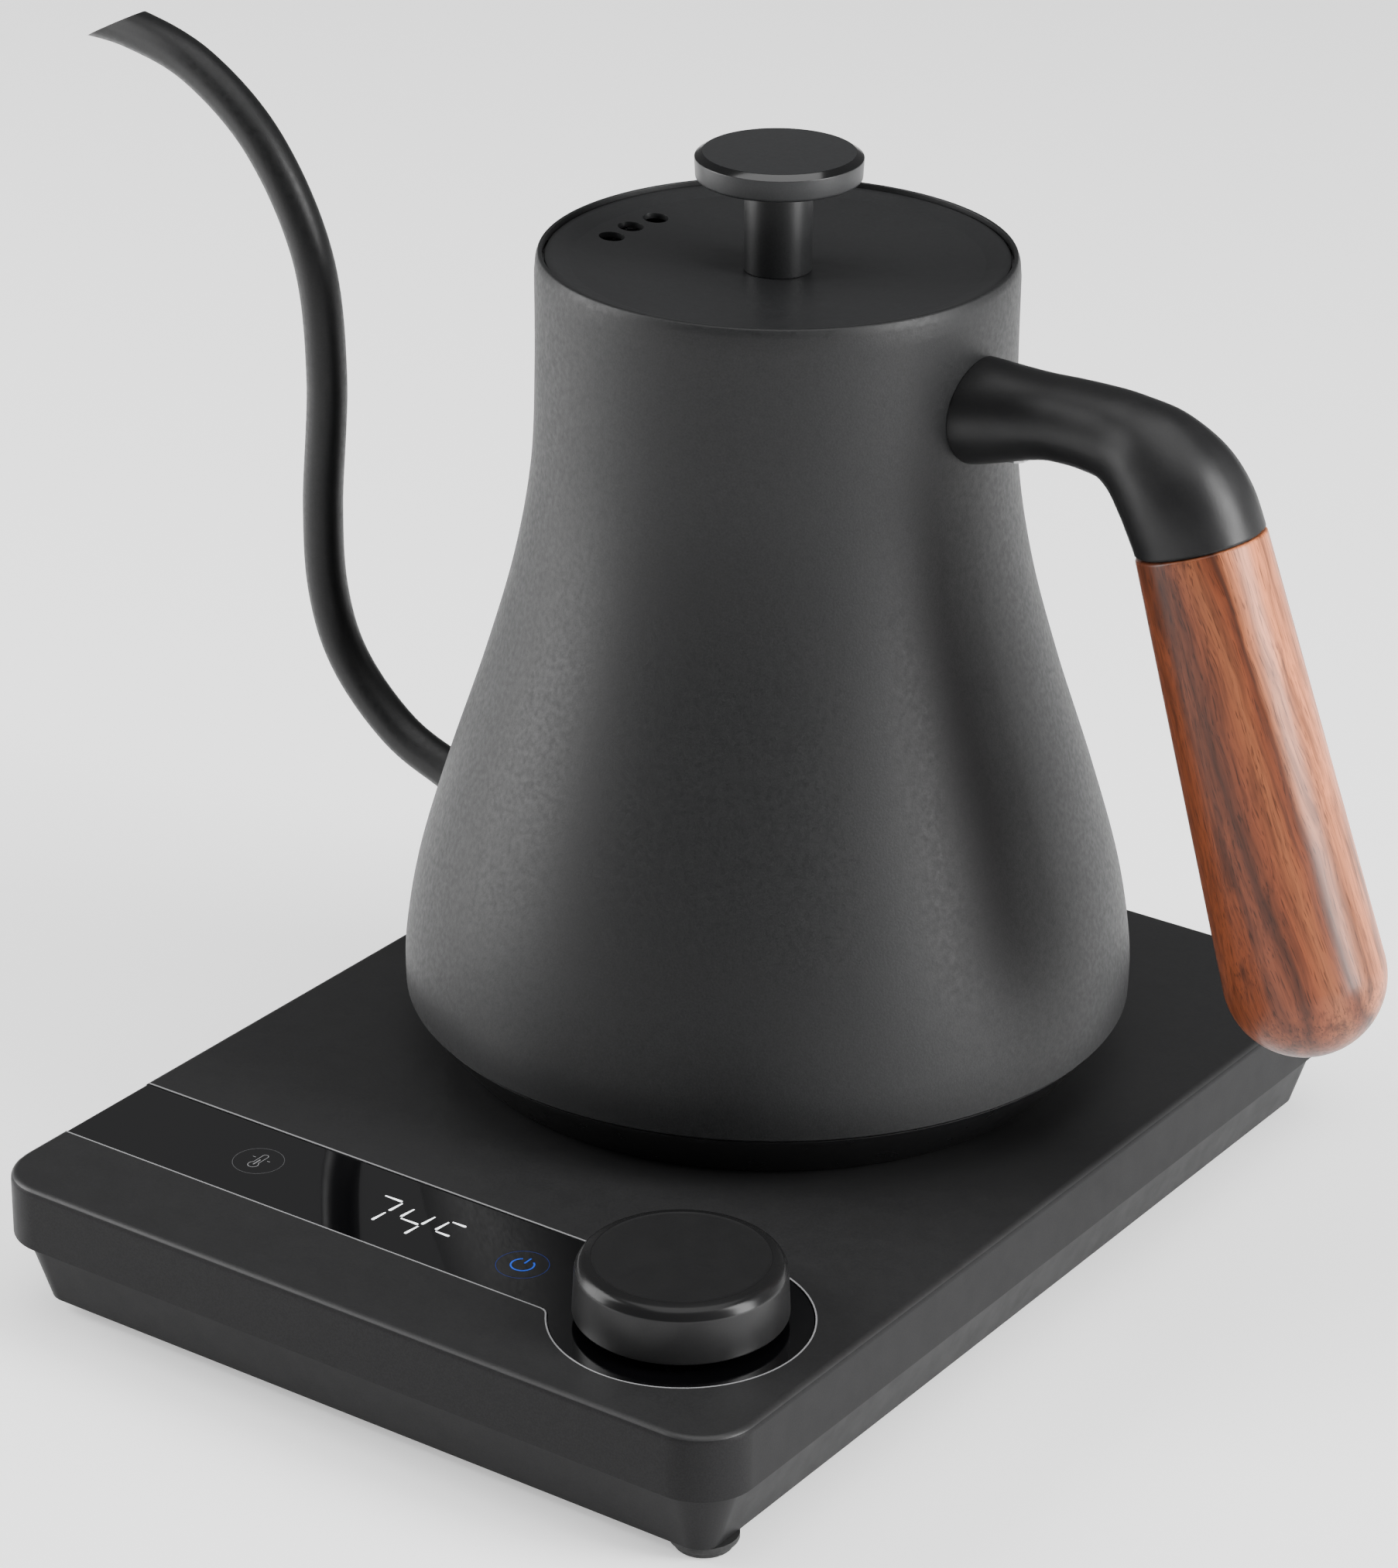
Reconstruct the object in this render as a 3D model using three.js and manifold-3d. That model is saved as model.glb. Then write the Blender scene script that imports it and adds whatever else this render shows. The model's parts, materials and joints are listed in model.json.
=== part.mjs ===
// Electric gooseneck kettle standing on its rectangular power base.
// Millimetres, +Z up. The model is drawn around the kettle's own upright axis, with the floor at
// z = 0, the spout towards -X, the handle towards +X and the control strip along the front, -Y.
// The finished group is then moved so that its origin is the bottom centre of its bounding box.
import * as THREE from 'three';
import { mergeVertices } from 'three/addons/utils/BufferGeometryUtils.js';
import Module from 'manifold-3d';

const wasm = await Module();
wasm.setup();

// ---------------------------------------------------------------- driving dimensions
const CLEARANCE = 0.3;              // between two pieces that touch or seat on each other

// power base
const BASE_WIDTH = 170;
const BASE_FRONT = 139;             // kettle axis to the front face
const BASE_BACK = 89.5;             // kettle axis to the back face
const BASE_CORNER = 11.3;           // upright corner radius
const BASE_TOP = 30.2;              // floor to the top face
const BASE_PARTING = 17;            // floor to the joint between the two covers
const BASE_EDGE = 1;                // fillet along the top edge
const COVER_WALL = 2.4;
const TOP_PLATE = 3;
const TRAY_BOTTOM = 2.8;            // floor to the underside of the lower cover
const TRAY_WALL = 2.2;
const TRAY_INSET_TOP = 2.5;         // lower cover's set-back under the upper one
const TRAY_INSET_BOTTOM = 6.8;
const FOOT_RADIUS = 6.5;
const FOOT_SIDE_INSET = 24;         // base's left or right side to foot centre
const FOOT_END_INSET = 20.6;        // base's front or back to foot centre
const CORNER_FOOT = { label: 'front_right', side: 12.2, end: 13.9 };  // the one close to its corner
const SCREW_SIDE_INSET = 19;        // base's left or right side to cover screw
const SCREW_END_INSET = 30;         // base's front or back to cover screw
const POST_RADIUS = 4;

// control strip and knob
const STRIP_FRONT = 117;            // kettle axis to the strip's front edge
const STRIP_WIDTH = 24;
const STRIP_THICKNESS = 1.3;
const STRIP_RECESS = 0.2;           // strip's surface under the top face
const STRIP_FILLET = 3;             // where the strip runs into the round end
const KNOB_X = 53.3;
const KNOB_RADIUS = 19.9;
const KNOB_HEIGHT = 11;
const KNOB_LIFT = 1.9;              // knob's lower edge over the strip
const KNOB_RING = 24.3;             // radius of the strip's round end
const KNOB_BEVEL = 2.2;
const BOARD_THICKNESS = 1.6;

// 360 degree connector
const CONNECTOR_RADIUS = 17;
const CONNECTOR_RISE = 8.3;         // above the base's top face
const PIN_RADIUS = 2.4;

// kettle body
const BELLY_RADIUS = 72.4;
const NECK_RADIUS = 46.1;
const BODY_HEIGHT = 152.2;          // seam to rim
const BODY_WALL = 1;
const RING_HEIGHT = 11.4;           // plastic base ring, seat to seam
const RING_TAPER = 9.4;             // how far the ring's foot is inside its top
const FLOOR_HEIGHT = 4.5;           // seam to the vessel floor

// spout, as it leaves the body and rises
const SPOUT_RADIUS = 4.2;
const SPOUT_BORE = 3.3;
const SPOUT_ROOT = 19;              // seam to the spout's root
const SPOUT_REACH = 100;
const SPOUT_RISE = 149.6;

// handle
const ARM_DROP = 22;                // rim to the arm's centre at the body
const ARM_REACH = 47.7;             // body side to the grip joint
const JOINT_DROP = 14.7;            // arm's centre at the body to the grip joint
const GRIP_LENGTH = 100.5;
const GRIP_TILT = 18.4;             // degrees from upright
const GRIP_TOP_RADIUS = 12.4;
const GRIP_END_RADIUS = 15.4;
const WASHER = 0.5;
const ROD_RADIUS = 3;

// lid
const LID_GAP = 0.4;                // lid edge to the rim's inner edge
const LID_DISH = 2.9;               // centre under the edge band
const LID_THICKNESS = 1.1;
const COLLAR_WIDTH = 3;
const STEAM_HOLE_RADIUS = 2.5;
const STEAM_HOLE_PLACE = 34.6;
const STEAM_HOLE_ANGLES = [167.5, 179.3, 191.1];
const STEM_RADIUS = 6.5;
const STEM_HEIGHT = 17.5;
const LID_KNOB_RADIUS = 16;
const LID_KNOB_HEIGHT = 5.1;

// ---------------------------------------------------------------- sizes that follow
const baseLeft = -BASE_WIDTH / 2;
const baseRight = BASE_WIDTH / 2;
const stripBack = STRIP_FRONT - STRIP_WIDTH;
const stripCentre = -(STRIP_FRONT + stripBack) / 2;
const stripTop = BASE_TOP - STRIP_RECESS;
const pocketFloor = stripTop - STRIP_THICKNESS - CLEARANCE;
const plateUnder = BASE_TOP - TOP_PLATE;
const trayFloor = TRAY_BOTTOM + TRAY_WALL;
const knobBottom = stripTop + KNOB_LIFT;
const knobTop = knobBottom + KNOB_HEIGHT;
const boardTop = plateUnder - 7.2;
const connectorTop = BASE_TOP + CONNECTOR_RISE;
const seat = BASE_TOP + CLEARANCE;
const seam = seat + RING_HEIGHT;
const bodyBottom = seam + CLEARANCE;
const rim = bodyBottom + BODY_HEIGHT;
const vesselFloor = bodyBottom + FLOOR_HEIGHT;
const rimInner = NECK_RADIUS - 1.5 * BODY_WALL;
const lidRadius = rimInner - LID_GAP;
const lidTop = rim - 0.9;
const collarTop = lidTop - LID_THICKNESS - CLEARANCE;
const collarInner = NECK_RADIUS - BODY_WALL - CLEARANCE - COLLAR_WIDTH;
const lidCentre = lidTop - LID_DISH;
const knobDiscBottom = lidCentre + CLEARANCE + STEM_HEIGHT + CLEARANCE;

// ---------------------------------------------------------------- geometry helpers
const TURN = 2 * Math.PI;
const radians = THREE.MathUtils.degToRad;

function weld(geometry) {
  const bare = geometry.clone();
  bare.deleteAttribute('normal');
  bare.deleteAttribute('uv');
  const merged = mergeVertices(bare, 1e-4);
  const position = merged.getAttribute('position');
  const kept = [];
  let volume = 0;
  const [a, b, c] = [new THREE.Vector3(), new THREE.Vector3(), new THREE.Vector3()];
  for (let i = 0; i < merged.index.count; i += 3) {
    const corner = [0, 1, 2].map((k) => merged.index.getX(i + k));
    if (new Set(corner).size < 3) continue;
    [a, b, c].forEach((point, k) => point.fromBufferAttribute(position, corner[k]));
    volume += a.dot(b.clone().cross(c));
    kept.push(...corner);
  }
  if (volume < 0) {
    for (let i = 0; i < kept.length; i += 3) [kept[i], kept[i + 1]] = [kept[i + 1], kept[i]];
  }
  merged.setIndex(kept);
  return merged;
}

function toSolid(geometry) {
  const welded = weld(geometry);
  return new wasm.Manifold(new wasm.Mesh({
    numProp: 3,
    vertProperties: new Float32Array(welded.getAttribute('position').array),
    triVerts: new Uint32Array(welded.index.array),
  }));
}

function toGeometry(solid) {
  const mesh = solid.getMesh();
  const geometry = new THREE.BufferGeometry();
  geometry.setAttribute('position', new THREE.BufferAttribute(mesh.vertProperties, 3));
  geometry.setIndex(new THREE.BufferAttribute(mesh.triVerts, 1));
  return geometry;
}

function cut(geometry, ...tools) {
  return toGeometry(tools.reduce((solid, tool) => solid.subtract(toSolid(tool)), toSolid(geometry)));
}

function join(geometry, ...others) {
  return toGeometry(others.reduce((solid, other) => solid.add(toSolid(other)), toSolid(geometry)));
}

function keepInside(geometry, limit) {
  return toGeometry(toSolid(geometry).intersect(toSolid(limit)));
}

// upright cylinder between two heights
function post(radius, low, high, x = 0, y = 0, sides = 24) {
  return new THREE.CylinderGeometry(radius, radius, high - low, sides)
    .rotateX(Math.PI / 2).translate(x, y, (low + high) / 2);
}

// upright box between two corners
function block(x0, x1, y0, y1, z0, z1) {
  return new THREE.BoxGeometry(x1 - x0, y1 - y0, z1 - z0)
    .translate((x0 + x1) / 2, (y0 + y1) / 2, (z0 + z1) / 2);
}

// body of revolution about the kettle axis from [radius, height] pairs
function turned(profile, segments = 32) {
  const points = profile.map(([radius, height]) => new THREE.Vector2(Math.max(radius, 0), height));
  return new THREE.LatheGeometry(points, segments).rotateX(Math.PI / 2);
}

// ring of revolution: the profile closes on itself
function turnedRing(profile, segments = 32) {
  return turned([...profile, profile[0]], segments);
}

// closed solid through rings of the same number of points
function loft(rings) {
  const count = rings[0].length;
  const vertices = rings.flat().flatMap((point) => [point.x, point.y, point.z]);
  const faces = [];
  for (let ring = 0; ring < rings.length - 1; ring += 1) {
    for (let i = 0; i < count; i += 1) {
      const next = (i + 1) % count;
      const [low, high] = [ring * count, (ring + 1) * count];
      faces.push(low + i, low + next, high + next, low + i, high + next, high + i);
    }
  }
  [rings[0], rings.at(-1)].forEach((ring, end) => {
    const centre = ring.reduce((sum, point) => sum.add(point), new THREE.Vector3()).divideScalar(count);
    const hub = vertices.length / 3;
    vertices.push(centre.x, centre.y, centre.z);
    const first = end * (rings.length - 1) * count;
    for (let i = 0; i < count; i += 1) {
      const pair = [first + i, first + ((i + 1) % count)];
      faces.push(hub, ...(end ? pair : pair.reverse()));
    }
  });
  const geometry = new THREE.BufferGeometry();
  geometry.setAttribute('position', new THREE.Float32BufferAttribute(vertices, 3));
  geometry.setIndex(faces);
  return geometry;
}

// outline of the base at one height, set in from its sides
function baseOutline(inset, height, corner = BASE_CORNER - inset) {
  const radius = Math.max(corner, 0.5);
  const [left, right] = [baseLeft + inset, baseRight - inset];
  const [front, back] = [-BASE_FRONT + inset, BASE_BACK - inset];
  const shape = new THREE.Shape();
  shape.absarc(right - radius, front + radius, radius, -Math.PI / 2, 0, false);
  shape.absarc(right - radius, back - radius, radius, 0, Math.PI / 2, false);
  shape.absarc(left + radius, back - radius, radius, Math.PI / 2, Math.PI, false);
  shape.absarc(left + radius, front + radius, radius, Math.PI, 1.5 * Math.PI, false);
  return shape.getPoints(4).slice(0, -1).map((point) => new THREE.Vector3(point.x, point.y, height));
}

// flat plate of a drawn outline between two heights
function plate(shape, low, high, curveSegments = 14) {
  return new THREE.ExtrudeGeometry(shape, { depth: high - low, bevelEnabled: false, curveSegments })
    .translate(0, 0, low);
}

// round rod along a path, with a radius that may change
function sweep(curve, radiusAt, sides, steps) {
  const across = new THREE.Vector3(0, 1, 0);
  const rings = [];
  for (let step = 0; step <= steps; step += 1) {
    const share = step / steps;
    const centre = curve.getPointAt(share);
    const normal = curve.getTangentAt(share).cross(across).normalize();
    const radius = radiusAt(share);
    rings.push(Array.from({ length: sides }, (_, i) => {
      const angle = (TURN * i) / sides;
      return centre.clone()
        .addScaledVector(normal, radius * Math.cos(angle))
        .addScaledVector(across, radius * Math.sin(angle));
    }));
  }
  return loft(rings);
}

// ---------------------------------------------------------------- materials
function finish(color, roughness, metalness) {
  return new THREE.MeshStandardMaterial({ color, roughness, metalness });
}

const finishes = {
  powderCoat: () => finish(0x2e2f31, 0.55, 0.3),
  satinPlastic: () => finish(0x1c1c1d, 0.45, 0),
  wallPlastic: () => finish(0x3a3a3b, 0.4, 0),
  glossPanel: () => finish(0x08080a, 0.06, 0),
  knobPlastic: () => finish(0x1e1e1f, 0.35, 0),
  blackPlastic: () => finish(0x151516, 0.6, 0),
  wood: () => finish(0x8a4a2c, 0.4, 0),
  rubber: () => finish(0x101010, 0.9, 0),
  silicone: () => finish(0x2a2a2a, 0.8, 0),
  steel: () => finish(0xb9bcc0, 0.3, 1),
  brass: () => finish(0xc59b4a, 0.3, 1),
  aluminium: () => finish(0xc8c9cb, 0.4, 1),
  board: () => finish(0x1f5a34, 0.6, 0),
  component: () => finish(0x24262a, 0.6, 0),
  display: () => finish(0xdfe6ea, 0.3, 0),
};

const model = new THREE.Group();

function add(name, geometry, material) {
  const mesh = new THREE.Mesh(weld(geometry), finishes[material]());
  mesh.name = name;
  model.add(mesh);
  return mesh;
}

// ---------------------------------------------------------------- places that repeat
const sides = { left: baseLeft, right: baseRight };
const ends = { front: -BASE_FRONT, rear: BASE_BACK };

// the four corner places, given distances in from the sides
function cornerPlaces(sideInset, endInset = sideInset) {
  return Object.entries(ends).flatMap(([end, y]) => Object.entries(sides).map(([side, x]) => ({
    label: `${end}_${side}`,
    x: x - Math.sign(x) * sideInset,
    y: y - Math.sign(y) * endInset,
  })));
}

const screwPlaces = cornerPlaces(SCREW_SIDE_INSET, SCREW_END_INSET);
const cornerFoot = cornerPlaces(CORNER_FOOT.side, CORNER_FOOT.end)
  .find(({ label }) => label === CORNER_FOOT.label);
const footPlaces = cornerPlaces(FOOT_SIDE_INSET, FOOT_END_INSET)
  .map((place) => (place.label === CORNER_FOOT.label ? cornerFoot : place));

// ---------------------------------------------------------------- power base
const displayPlace = { x: -8, width: 40, depth: 14 };
const touchPlaces = { temperature: -46.6, power: 17.7 };
const touchRadius = 3;
const bushRadius = 3.4;
const screwShank = 1.5;
const screwHead = 3.2;
const trayBoss = { radius: 5.5, top: trayFloor + 2.6 };
const gland = { z: 9.8, neck: 4.6, bore: 3.6, flange: 5.7, length: 9 };
const glandFace = BASE_BACK - TRAY_INSET_BOTTOM;

// outline of the control strip: a straight band with a round end about the knob
function stripShape(grow = 0, leftEnd = baseLeft) {
  const half = STRIP_WIDTH / 2 + grow;
  const ring = KNOB_RING + grow;
  const fillet = STRIP_FILLET - grow;
  const rise = half + fillet;
  const run = Math.sqrt((ring + fillet) ** 2 - rise ** 2);
  const touch = Math.atan2(rise, run);
  const shape = new THREE.Shape();
  shape.moveTo(leftEnd, stripCentre - half);
  shape.lineTo(KNOB_X - run, stripCentre - half);
  shape.absarc(KNOB_X - run, stripCentre - rise, fillet, Math.PI / 2, touch, true);
  shape.absarc(KNOB_X, stripCentre, ring, Math.PI + touch, TURN + Math.PI - touch, false);
  shape.absarc(KNOB_X - run, stripCentre + rise, fillet, -touch, -Math.PI / 2, true);
  shape.lineTo(leftEnd, stripCentre + half);
  return shape;
}

function baseTopCover() {
  const outer = loft([
    baseOutline(0, BASE_PARTING),
    baseOutline(0, BASE_TOP - BASE_EDGE),
    baseOutline(0.3 * BASE_EDGE, BASE_TOP - 0.3 * BASE_EDGE),
    baseOutline(BASE_EDGE, BASE_TOP),
  ]);
  const hollow = loft([
    baseOutline(COVER_WALL, BASE_PARTING - 1),
    baseOutline(COVER_WALL, plateUnder),
  ]);
  const pocket = plate(stripShape(CLEARANCE, baseLeft - 1), pocketFloor, BASE_TOP + 1);
  const displayOpening = block(
    displayPlace.x - displayPlace.width / 2 - CLEARANCE,
    displayPlace.x + displayPlace.width / 2 + CLEARANCE,
    stripCentre - displayPlace.depth / 2 - CLEARANCE,
    stripCentre + displayPlace.depth / 2 + CLEARANCE,
    plateUnder - 1,
    BASE_TOP,
  );
  const touchOpenings = Object.values(touchPlaces)
    .map((x) => post(touchRadius + CLEARANCE, plateUnder - 1, BASE_TOP, x, stripCentre));
  const bushOpening = post(bushRadius + CLEARANCE, plateUnder - 1, BASE_TOP, KNOB_X, stripCentre);
  const connectorOpening = post(
    CONNECTOR_RADIUS + CLEARANCE, plateUnder - 1, BASE_TOP + 1, 0, 0, 32);
  const shell = cut(outer, hollow, pocket, displayOpening, ...touchOpenings, bushOpening,
    connectorOpening);
  const posts = screwPlaces
    .map(({ x, y }) => post(POST_RADIUS, trayBoss.top + CLEARANCE, plateUnder + 0.5, x, y, 16));
  const bores = screwPlaces.map(({ x, y }) => post(
    screwShank + CLEARANCE, trayBoss.top - 1, trayBoss.top + 9, x, y, 16));
  return cut(join(shell, ...posts), ...bores);
}

function baseBottomCover() {
  const flangeTop = BASE_PARTING + 2;
  const flangeInset = COVER_WALL + CLEARANCE;
  const lip = BASE_PARTING - CLEARANCE;
  const innerTop = TRAY_INSET_TOP + TRAY_WALL;
  const outer = join(
    loft([baseOutline(TRAY_INSET_BOTTOM, TRAY_BOTTOM), baseOutline(TRAY_INSET_TOP, lip)]),
    loft([baseOutline(flangeInset, lip - 0.1), baseOutline(flangeInset, flangeTop)]),
  );
  const hollow = loft([
    baseOutline(TRAY_INSET_BOTTOM + TRAY_WALL, trayFloor),
    baseOutline(innerTop, lip),
    baseOutline(innerTop, flangeTop + 1),
  ]);
  const bosses = screwPlaces
    .map(({ x, y }) => post(trayBoss.radius, trayFloor - 0.5, trayBoss.top, x, y, 20));
  const shanks = screwPlaces.map(({ x, y }) => post(
    screwShank + CLEARANCE, TRAY_BOTTOM - 1, trayBoss.top + 1, x, y, 16));
  const heads = screwPlaces.map(({ x, y }) => post(
    screwHead + CLEARANCE, TRAY_BOTTOM - 1, TRAY_BOTTOM + 2.6, x, y, 20));
  const pegs = footPlaces
    .map(({ x, y }) => post(2 + CLEARANCE, TRAY_BOTTOM - 1, trayFloor + 1, x, y, 16));
  const glandHole = new THREE.CylinderGeometry(gland.neck + CLEARANCE, gland.neck + CLEARANCE, 20, 24)
    .translate(0, glandFace, gland.z);
  return cut(join(cut(outer, hollow), ...bosses), ...shanks, ...heads, ...pegs, glandHole);
}

function cordGland() {
  const slope = (TRAY_INSET_BOTTOM - TRAY_INSET_TOP) / (BASE_PARTING - CLEARANCE - TRAY_BOTTOM);
  const outside = glandFace + slope * (gland.z + gland.flange - TRAY_BOTTOM) + CLEARANCE;
  const profile = [
    [gland.bore, -gland.length], [gland.neck, -gland.length], [gland.neck, 0],
    [gland.flange, 0], [gland.flange, 1.4], [gland.neck, 2.4], [gland.bore, 2.4],
  ];
  const points = profile.map(([radius, along]) => new THREE.Vector2(radius, along));
  return new THREE.LatheGeometry([...points, points[0]], 24).translate(0, outside, gland.z);
}

function foot({ x, y }) {
  const step = 0.85 * FOOT_RADIUS;
  return turned([
    [0, 0], [step - 0.4, 0], [step, 0.4], [step, 1.2], [FOOT_RADIUS, 1.4],
    [FOOT_RADIUS, TRAY_BOTTOM - CLEARANCE], [2, TRAY_BOTTOM - CLEARANCE],
    [2, trayFloor + 1], [0, trayFloor + 1],
  ], 16).translate(x, y, 0);
}

function coverScrew({ x, y }) {
  const head = TRAY_BOTTOM + 0.5;
  const screw = turned([
    [0, head], [screwHead - 0.5, head], [screwHead, head + 0.6], [screwHead, head + 1.8],
    [screwShank, head + 1.8], [screwShank, trayBoss.top + 8], [0, trayBoss.top + 8.6],
  ], 14).translate(x, y, 0);
  const slots = [0, Math.PI / 2].map((angle) => new THREE.BoxGeometry(0.9, 3.4, 1.6)
    .rotateZ(angle).translate(x, y, head));
  return cut(screw, ...slots);
}

function displayWindow() {
  const panel = plate(stripShape(0, baseLeft + CLEARANCE), pocketFloor + CLEARANCE, stripTop);
  const limit = loft([
    baseOutline(CLEARANCE, BASE_PARTING),
    baseOutline(CLEARANCE, BASE_TOP - BASE_EDGE),
    baseOutline(CLEARANCE + BASE_EDGE * 0.6, BASE_TOP),
  ]);
  const nutOpening = post(7, pocketFloor - 1, BASE_TOP + 1, KNOB_X, stripCentre, 24);
  return cut(keepInside(panel, limit), nutOpening);
}

function controlKnob() {
  const side = knobTop - 1.3;
  const cavity = knobTop - 2.6;
  return turned([
    [0, cavity], [3 + CLEARANCE, cavity], [3 + CLEARANCE, knobBottom + 1.6], [5.6, knobBottom + 1.6],
    [5.6, cavity], [KNOB_RADIUS - 2.4, cavity], [KNOB_RADIUS - 2.2, knobBottom],
    [KNOB_RADIUS, knobBottom], [KNOB_RADIUS - 0.5, side],
    [KNOB_RADIUS - 0.5 - 0.35 * KNOB_BEVEL, knobTop - 0.4],
    [KNOB_RADIUS - 0.5 - KNOB_BEVEL, knobTop], [0, knobTop],
  ], 36).translate(KNOB_X, stripCentre, 0);
}

function encoderShaft() {
  const shoulder = stripTop + 1.6;
  return turned([
    [0, boardTop + 4], [2.3, boardTop + 4], [2.3, shoulder], [3, shoulder],
    [3, knobTop - 2.6 - CLEARANCE], [0, knobTop - 2.6 - CLEARANCE],
  ], 20).translate(KNOB_X, stripCentre, 0);
}

function encoderBody() {
  const low = boardTop + CLEARANCE;
  const can = block(KNOB_X - 6, KNOB_X + 6, stripCentre - 6, stripCentre + 6, low, plateUnder - CLEARANCE);
  const bush = post(bushRadius, plateUnder - 1, stripTop + 1.3, KNOB_X, stripCentre, 20);
  const bore = post(2.3 + CLEARANCE, boardTop + 4 - CLEARANCE, stripTop + 3, KNOB_X, stripCentre, 20);
  return cut(join(can, bush), bore);
}

function encoderNut() {
  const nut = new THREE.CylinderGeometry(5.2, 5.2, 1.8, 6).rotateX(Math.PI / 2)
    .translate(KNOB_X, stripCentre, pocketFloor + CLEARANCE + 0.9);
  return cut(nut, post(bushRadius + CLEARANCE, pocketFloor - 2, BASE_TOP + 3, KNOB_X, stripCentre, 20));
}

function controlBoard() {
  const [front, back] = [stripCentre - STRIP_WIDTH / 2 + 1, stripCentre + STRIP_WIDTH / 2 - 1];
  return block(touchPlaces.temperature - 8, KNOB_X + 7, front, back, boardTop - BOARD_THICKNESS, boardTop);
}

function ledDisplay() {
  const { x, width, depth } = displayPlace;
  return block(x - width / 2, x + width / 2, stripCentre - depth / 2, stripCentre + depth / 2,
    boardTop + CLEARANCE, pocketFloor);
}

function touchSpring(x) {
  const [low, high] = [boardTop + CLEARANCE, pocketFloor];
  return turnedRing([
    [touchRadius - 0.8, low], [touchRadius, low], [touchRadius, high], [touchRadius - 0.8, high],
  ], 20).translate(x, stripCentre, 0);
}

// positions of the supply board's larger components, behind the control strip
const supply = { x: 34, front: -STRIP_FRONT + STRIP_WIDTH + 10, depth: 38, top: trayFloor + 5 };

function powerBoard() {
  const { x, front, depth, top } = supply;
  return block(-x, x, front, front + depth, top - BOARD_THICKNESS, top);
}

function powerRelay() {
  const low = supply.top + CLEARANCE;
  return block(-26, -8, supply.front + 8, supply.front + 30, low, low + 13.5);
}

function powerTransformer() {
  const low = supply.top + CLEARANCE;
  const y = supply.front + 18;
  const core = block(8, 28, y - 9, y + 9, low, low + 14);
  return join(core, block(5, 31, y - 5, y + 5, low + 2, low + 11));
}

function buzzer() {
  return cut(
    post(6, boardTop + CLEARANCE, boardTop + 6.2, 35, stripCentre, 24),
    post(1, boardTop + 4, boardTop + 8, 35, stripCentre, 12),
  );
}

// round connector in the middle of the base, with a centre hole and two contact grooves
const groove = { inner: [7.6, 9.8], outer: [12.2, 14.4], depth: 6 };

function baseConnector() {
  const body = turned([
    [0, plateUnder - 13], [CONNECTOR_RADIUS, plateUnder - 13], [CONNECTOR_RADIUS, plateUnder - 4],
    [CONNECTOR_RADIUS + 6, plateUnder - 4], [CONNECTOR_RADIUS + 6, plateUnder - CLEARANCE],
    [CONNECTOR_RADIUS, plateUnder - CLEARANCE], [CONNECTOR_RADIUS, connectorTop - 1],
    [CONNECTOR_RADIUS - 1, connectorTop], [0, connectorTop],
  ]);
  const low = connectorTop - groove.depth;
  const high = connectorTop + 1;
  const rings = [groove.inner, groove.outer].map(([near, far]) => turnedRing([
    [near, low], [far, low], [far, high], [near, high],
  ]));
  return cut(body, ...rings, post(PIN_RADIUS + 0.8, connectorTop - 9, high, 0, 0, 20));
}

function contactRing([near, far]) {
  const low = connectorTop - groove.depth + CLEARANCE;
  return turnedRing([
    [near + CLEARANCE, low], [far - CLEARANCE, low], [far - CLEARANCE, low + 1.2],
    [near + CLEARANCE, low + 1.2],
  ]);
}

add('base_top_cover', baseTopCover(), 'satinPlastic');
add('base_bottom_cover', baseBottomCover(), 'wallPlastic');
add('display_window', displayWindow(), 'glossPanel');
add('control_board', controlBoard(), 'board');
add('led_display', ledDisplay(), 'display');
Object.entries(touchPlaces).forEach(([use, x]) => add(`touch_spring_${use}`, touchSpring(x), 'steel'));
add('buzzer', buzzer(), 'component');
add('encoder_body', encoderBody(), 'component');
add('encoder_nut', encoderNut(), 'steel');
add('encoder_shaft', encoderShaft(), 'steel');
add('control_knob', controlKnob(), 'knobPlastic');
add('power_board', powerBoard(), 'board');
add('power_relay', powerRelay(), 'component');
add('power_transformer', powerTransformer(), 'component');
add('base_connector', baseConnector(), 'blackPlastic');
add('contact_ring_inner', contactRing(groove.inner), 'brass');
add('contact_ring_outer', contactRing(groove.outer), 'brass');
add('cord_gland', cordGland(), 'rubber');
footPlaces.forEach((place) => add(`foot_${place.label}`, foot(place), 'rubber'));
screwPlaces.forEach((place) => add(`base_screw_${place.label}`, coverScrew(place), 'steel'));

// ---------------------------------------------------------------- kettle body
// share of the way from neck to belly, against share of the height
const bellShape = [
  [1, 0], [0.996, 0.064], [0.894, 0.169], [0.673, 0.3], [0.384, 0.451], [0.16, 0.589],
  [0.03, 0.721], [0, 0.852], [0, 0.968],
];
const bellCurve = new THREE.SplineCurve(bellShape.map(([wide, high]) => new THREE.Vector2(
  NECK_RADIUS + (BELLY_RADIUS - NECK_RADIUS) * wide, bodyBottom + BODY_HEIGHT * high)));
const bellPoints = bellCurve.getPoints(12).map((point) => [point.x, point.y]);

function bodyRadius(height) {
  const above = bellPoints.findIndex(([, z]) => z >= height);
  const [[r0, z0], [r1, z1]] = [bellPoints[above - 1], bellPoints[above]];
  return r0 + ((r1 - r0) * (height - z0)) / (z1 - z0);
}

// solid bell, grown outwards, that trims what seats on the body
function bellSolid(grow) {
  return turned([
    [0, bodyBottom - 1], [BELLY_RADIUS + grow, bodyBottom - 1],
    ...bellPoints.map(([radius, z]) => [radius + grow, z]), [0, bellPoints.at(-1)[1]],
  ], 40);
}

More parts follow.
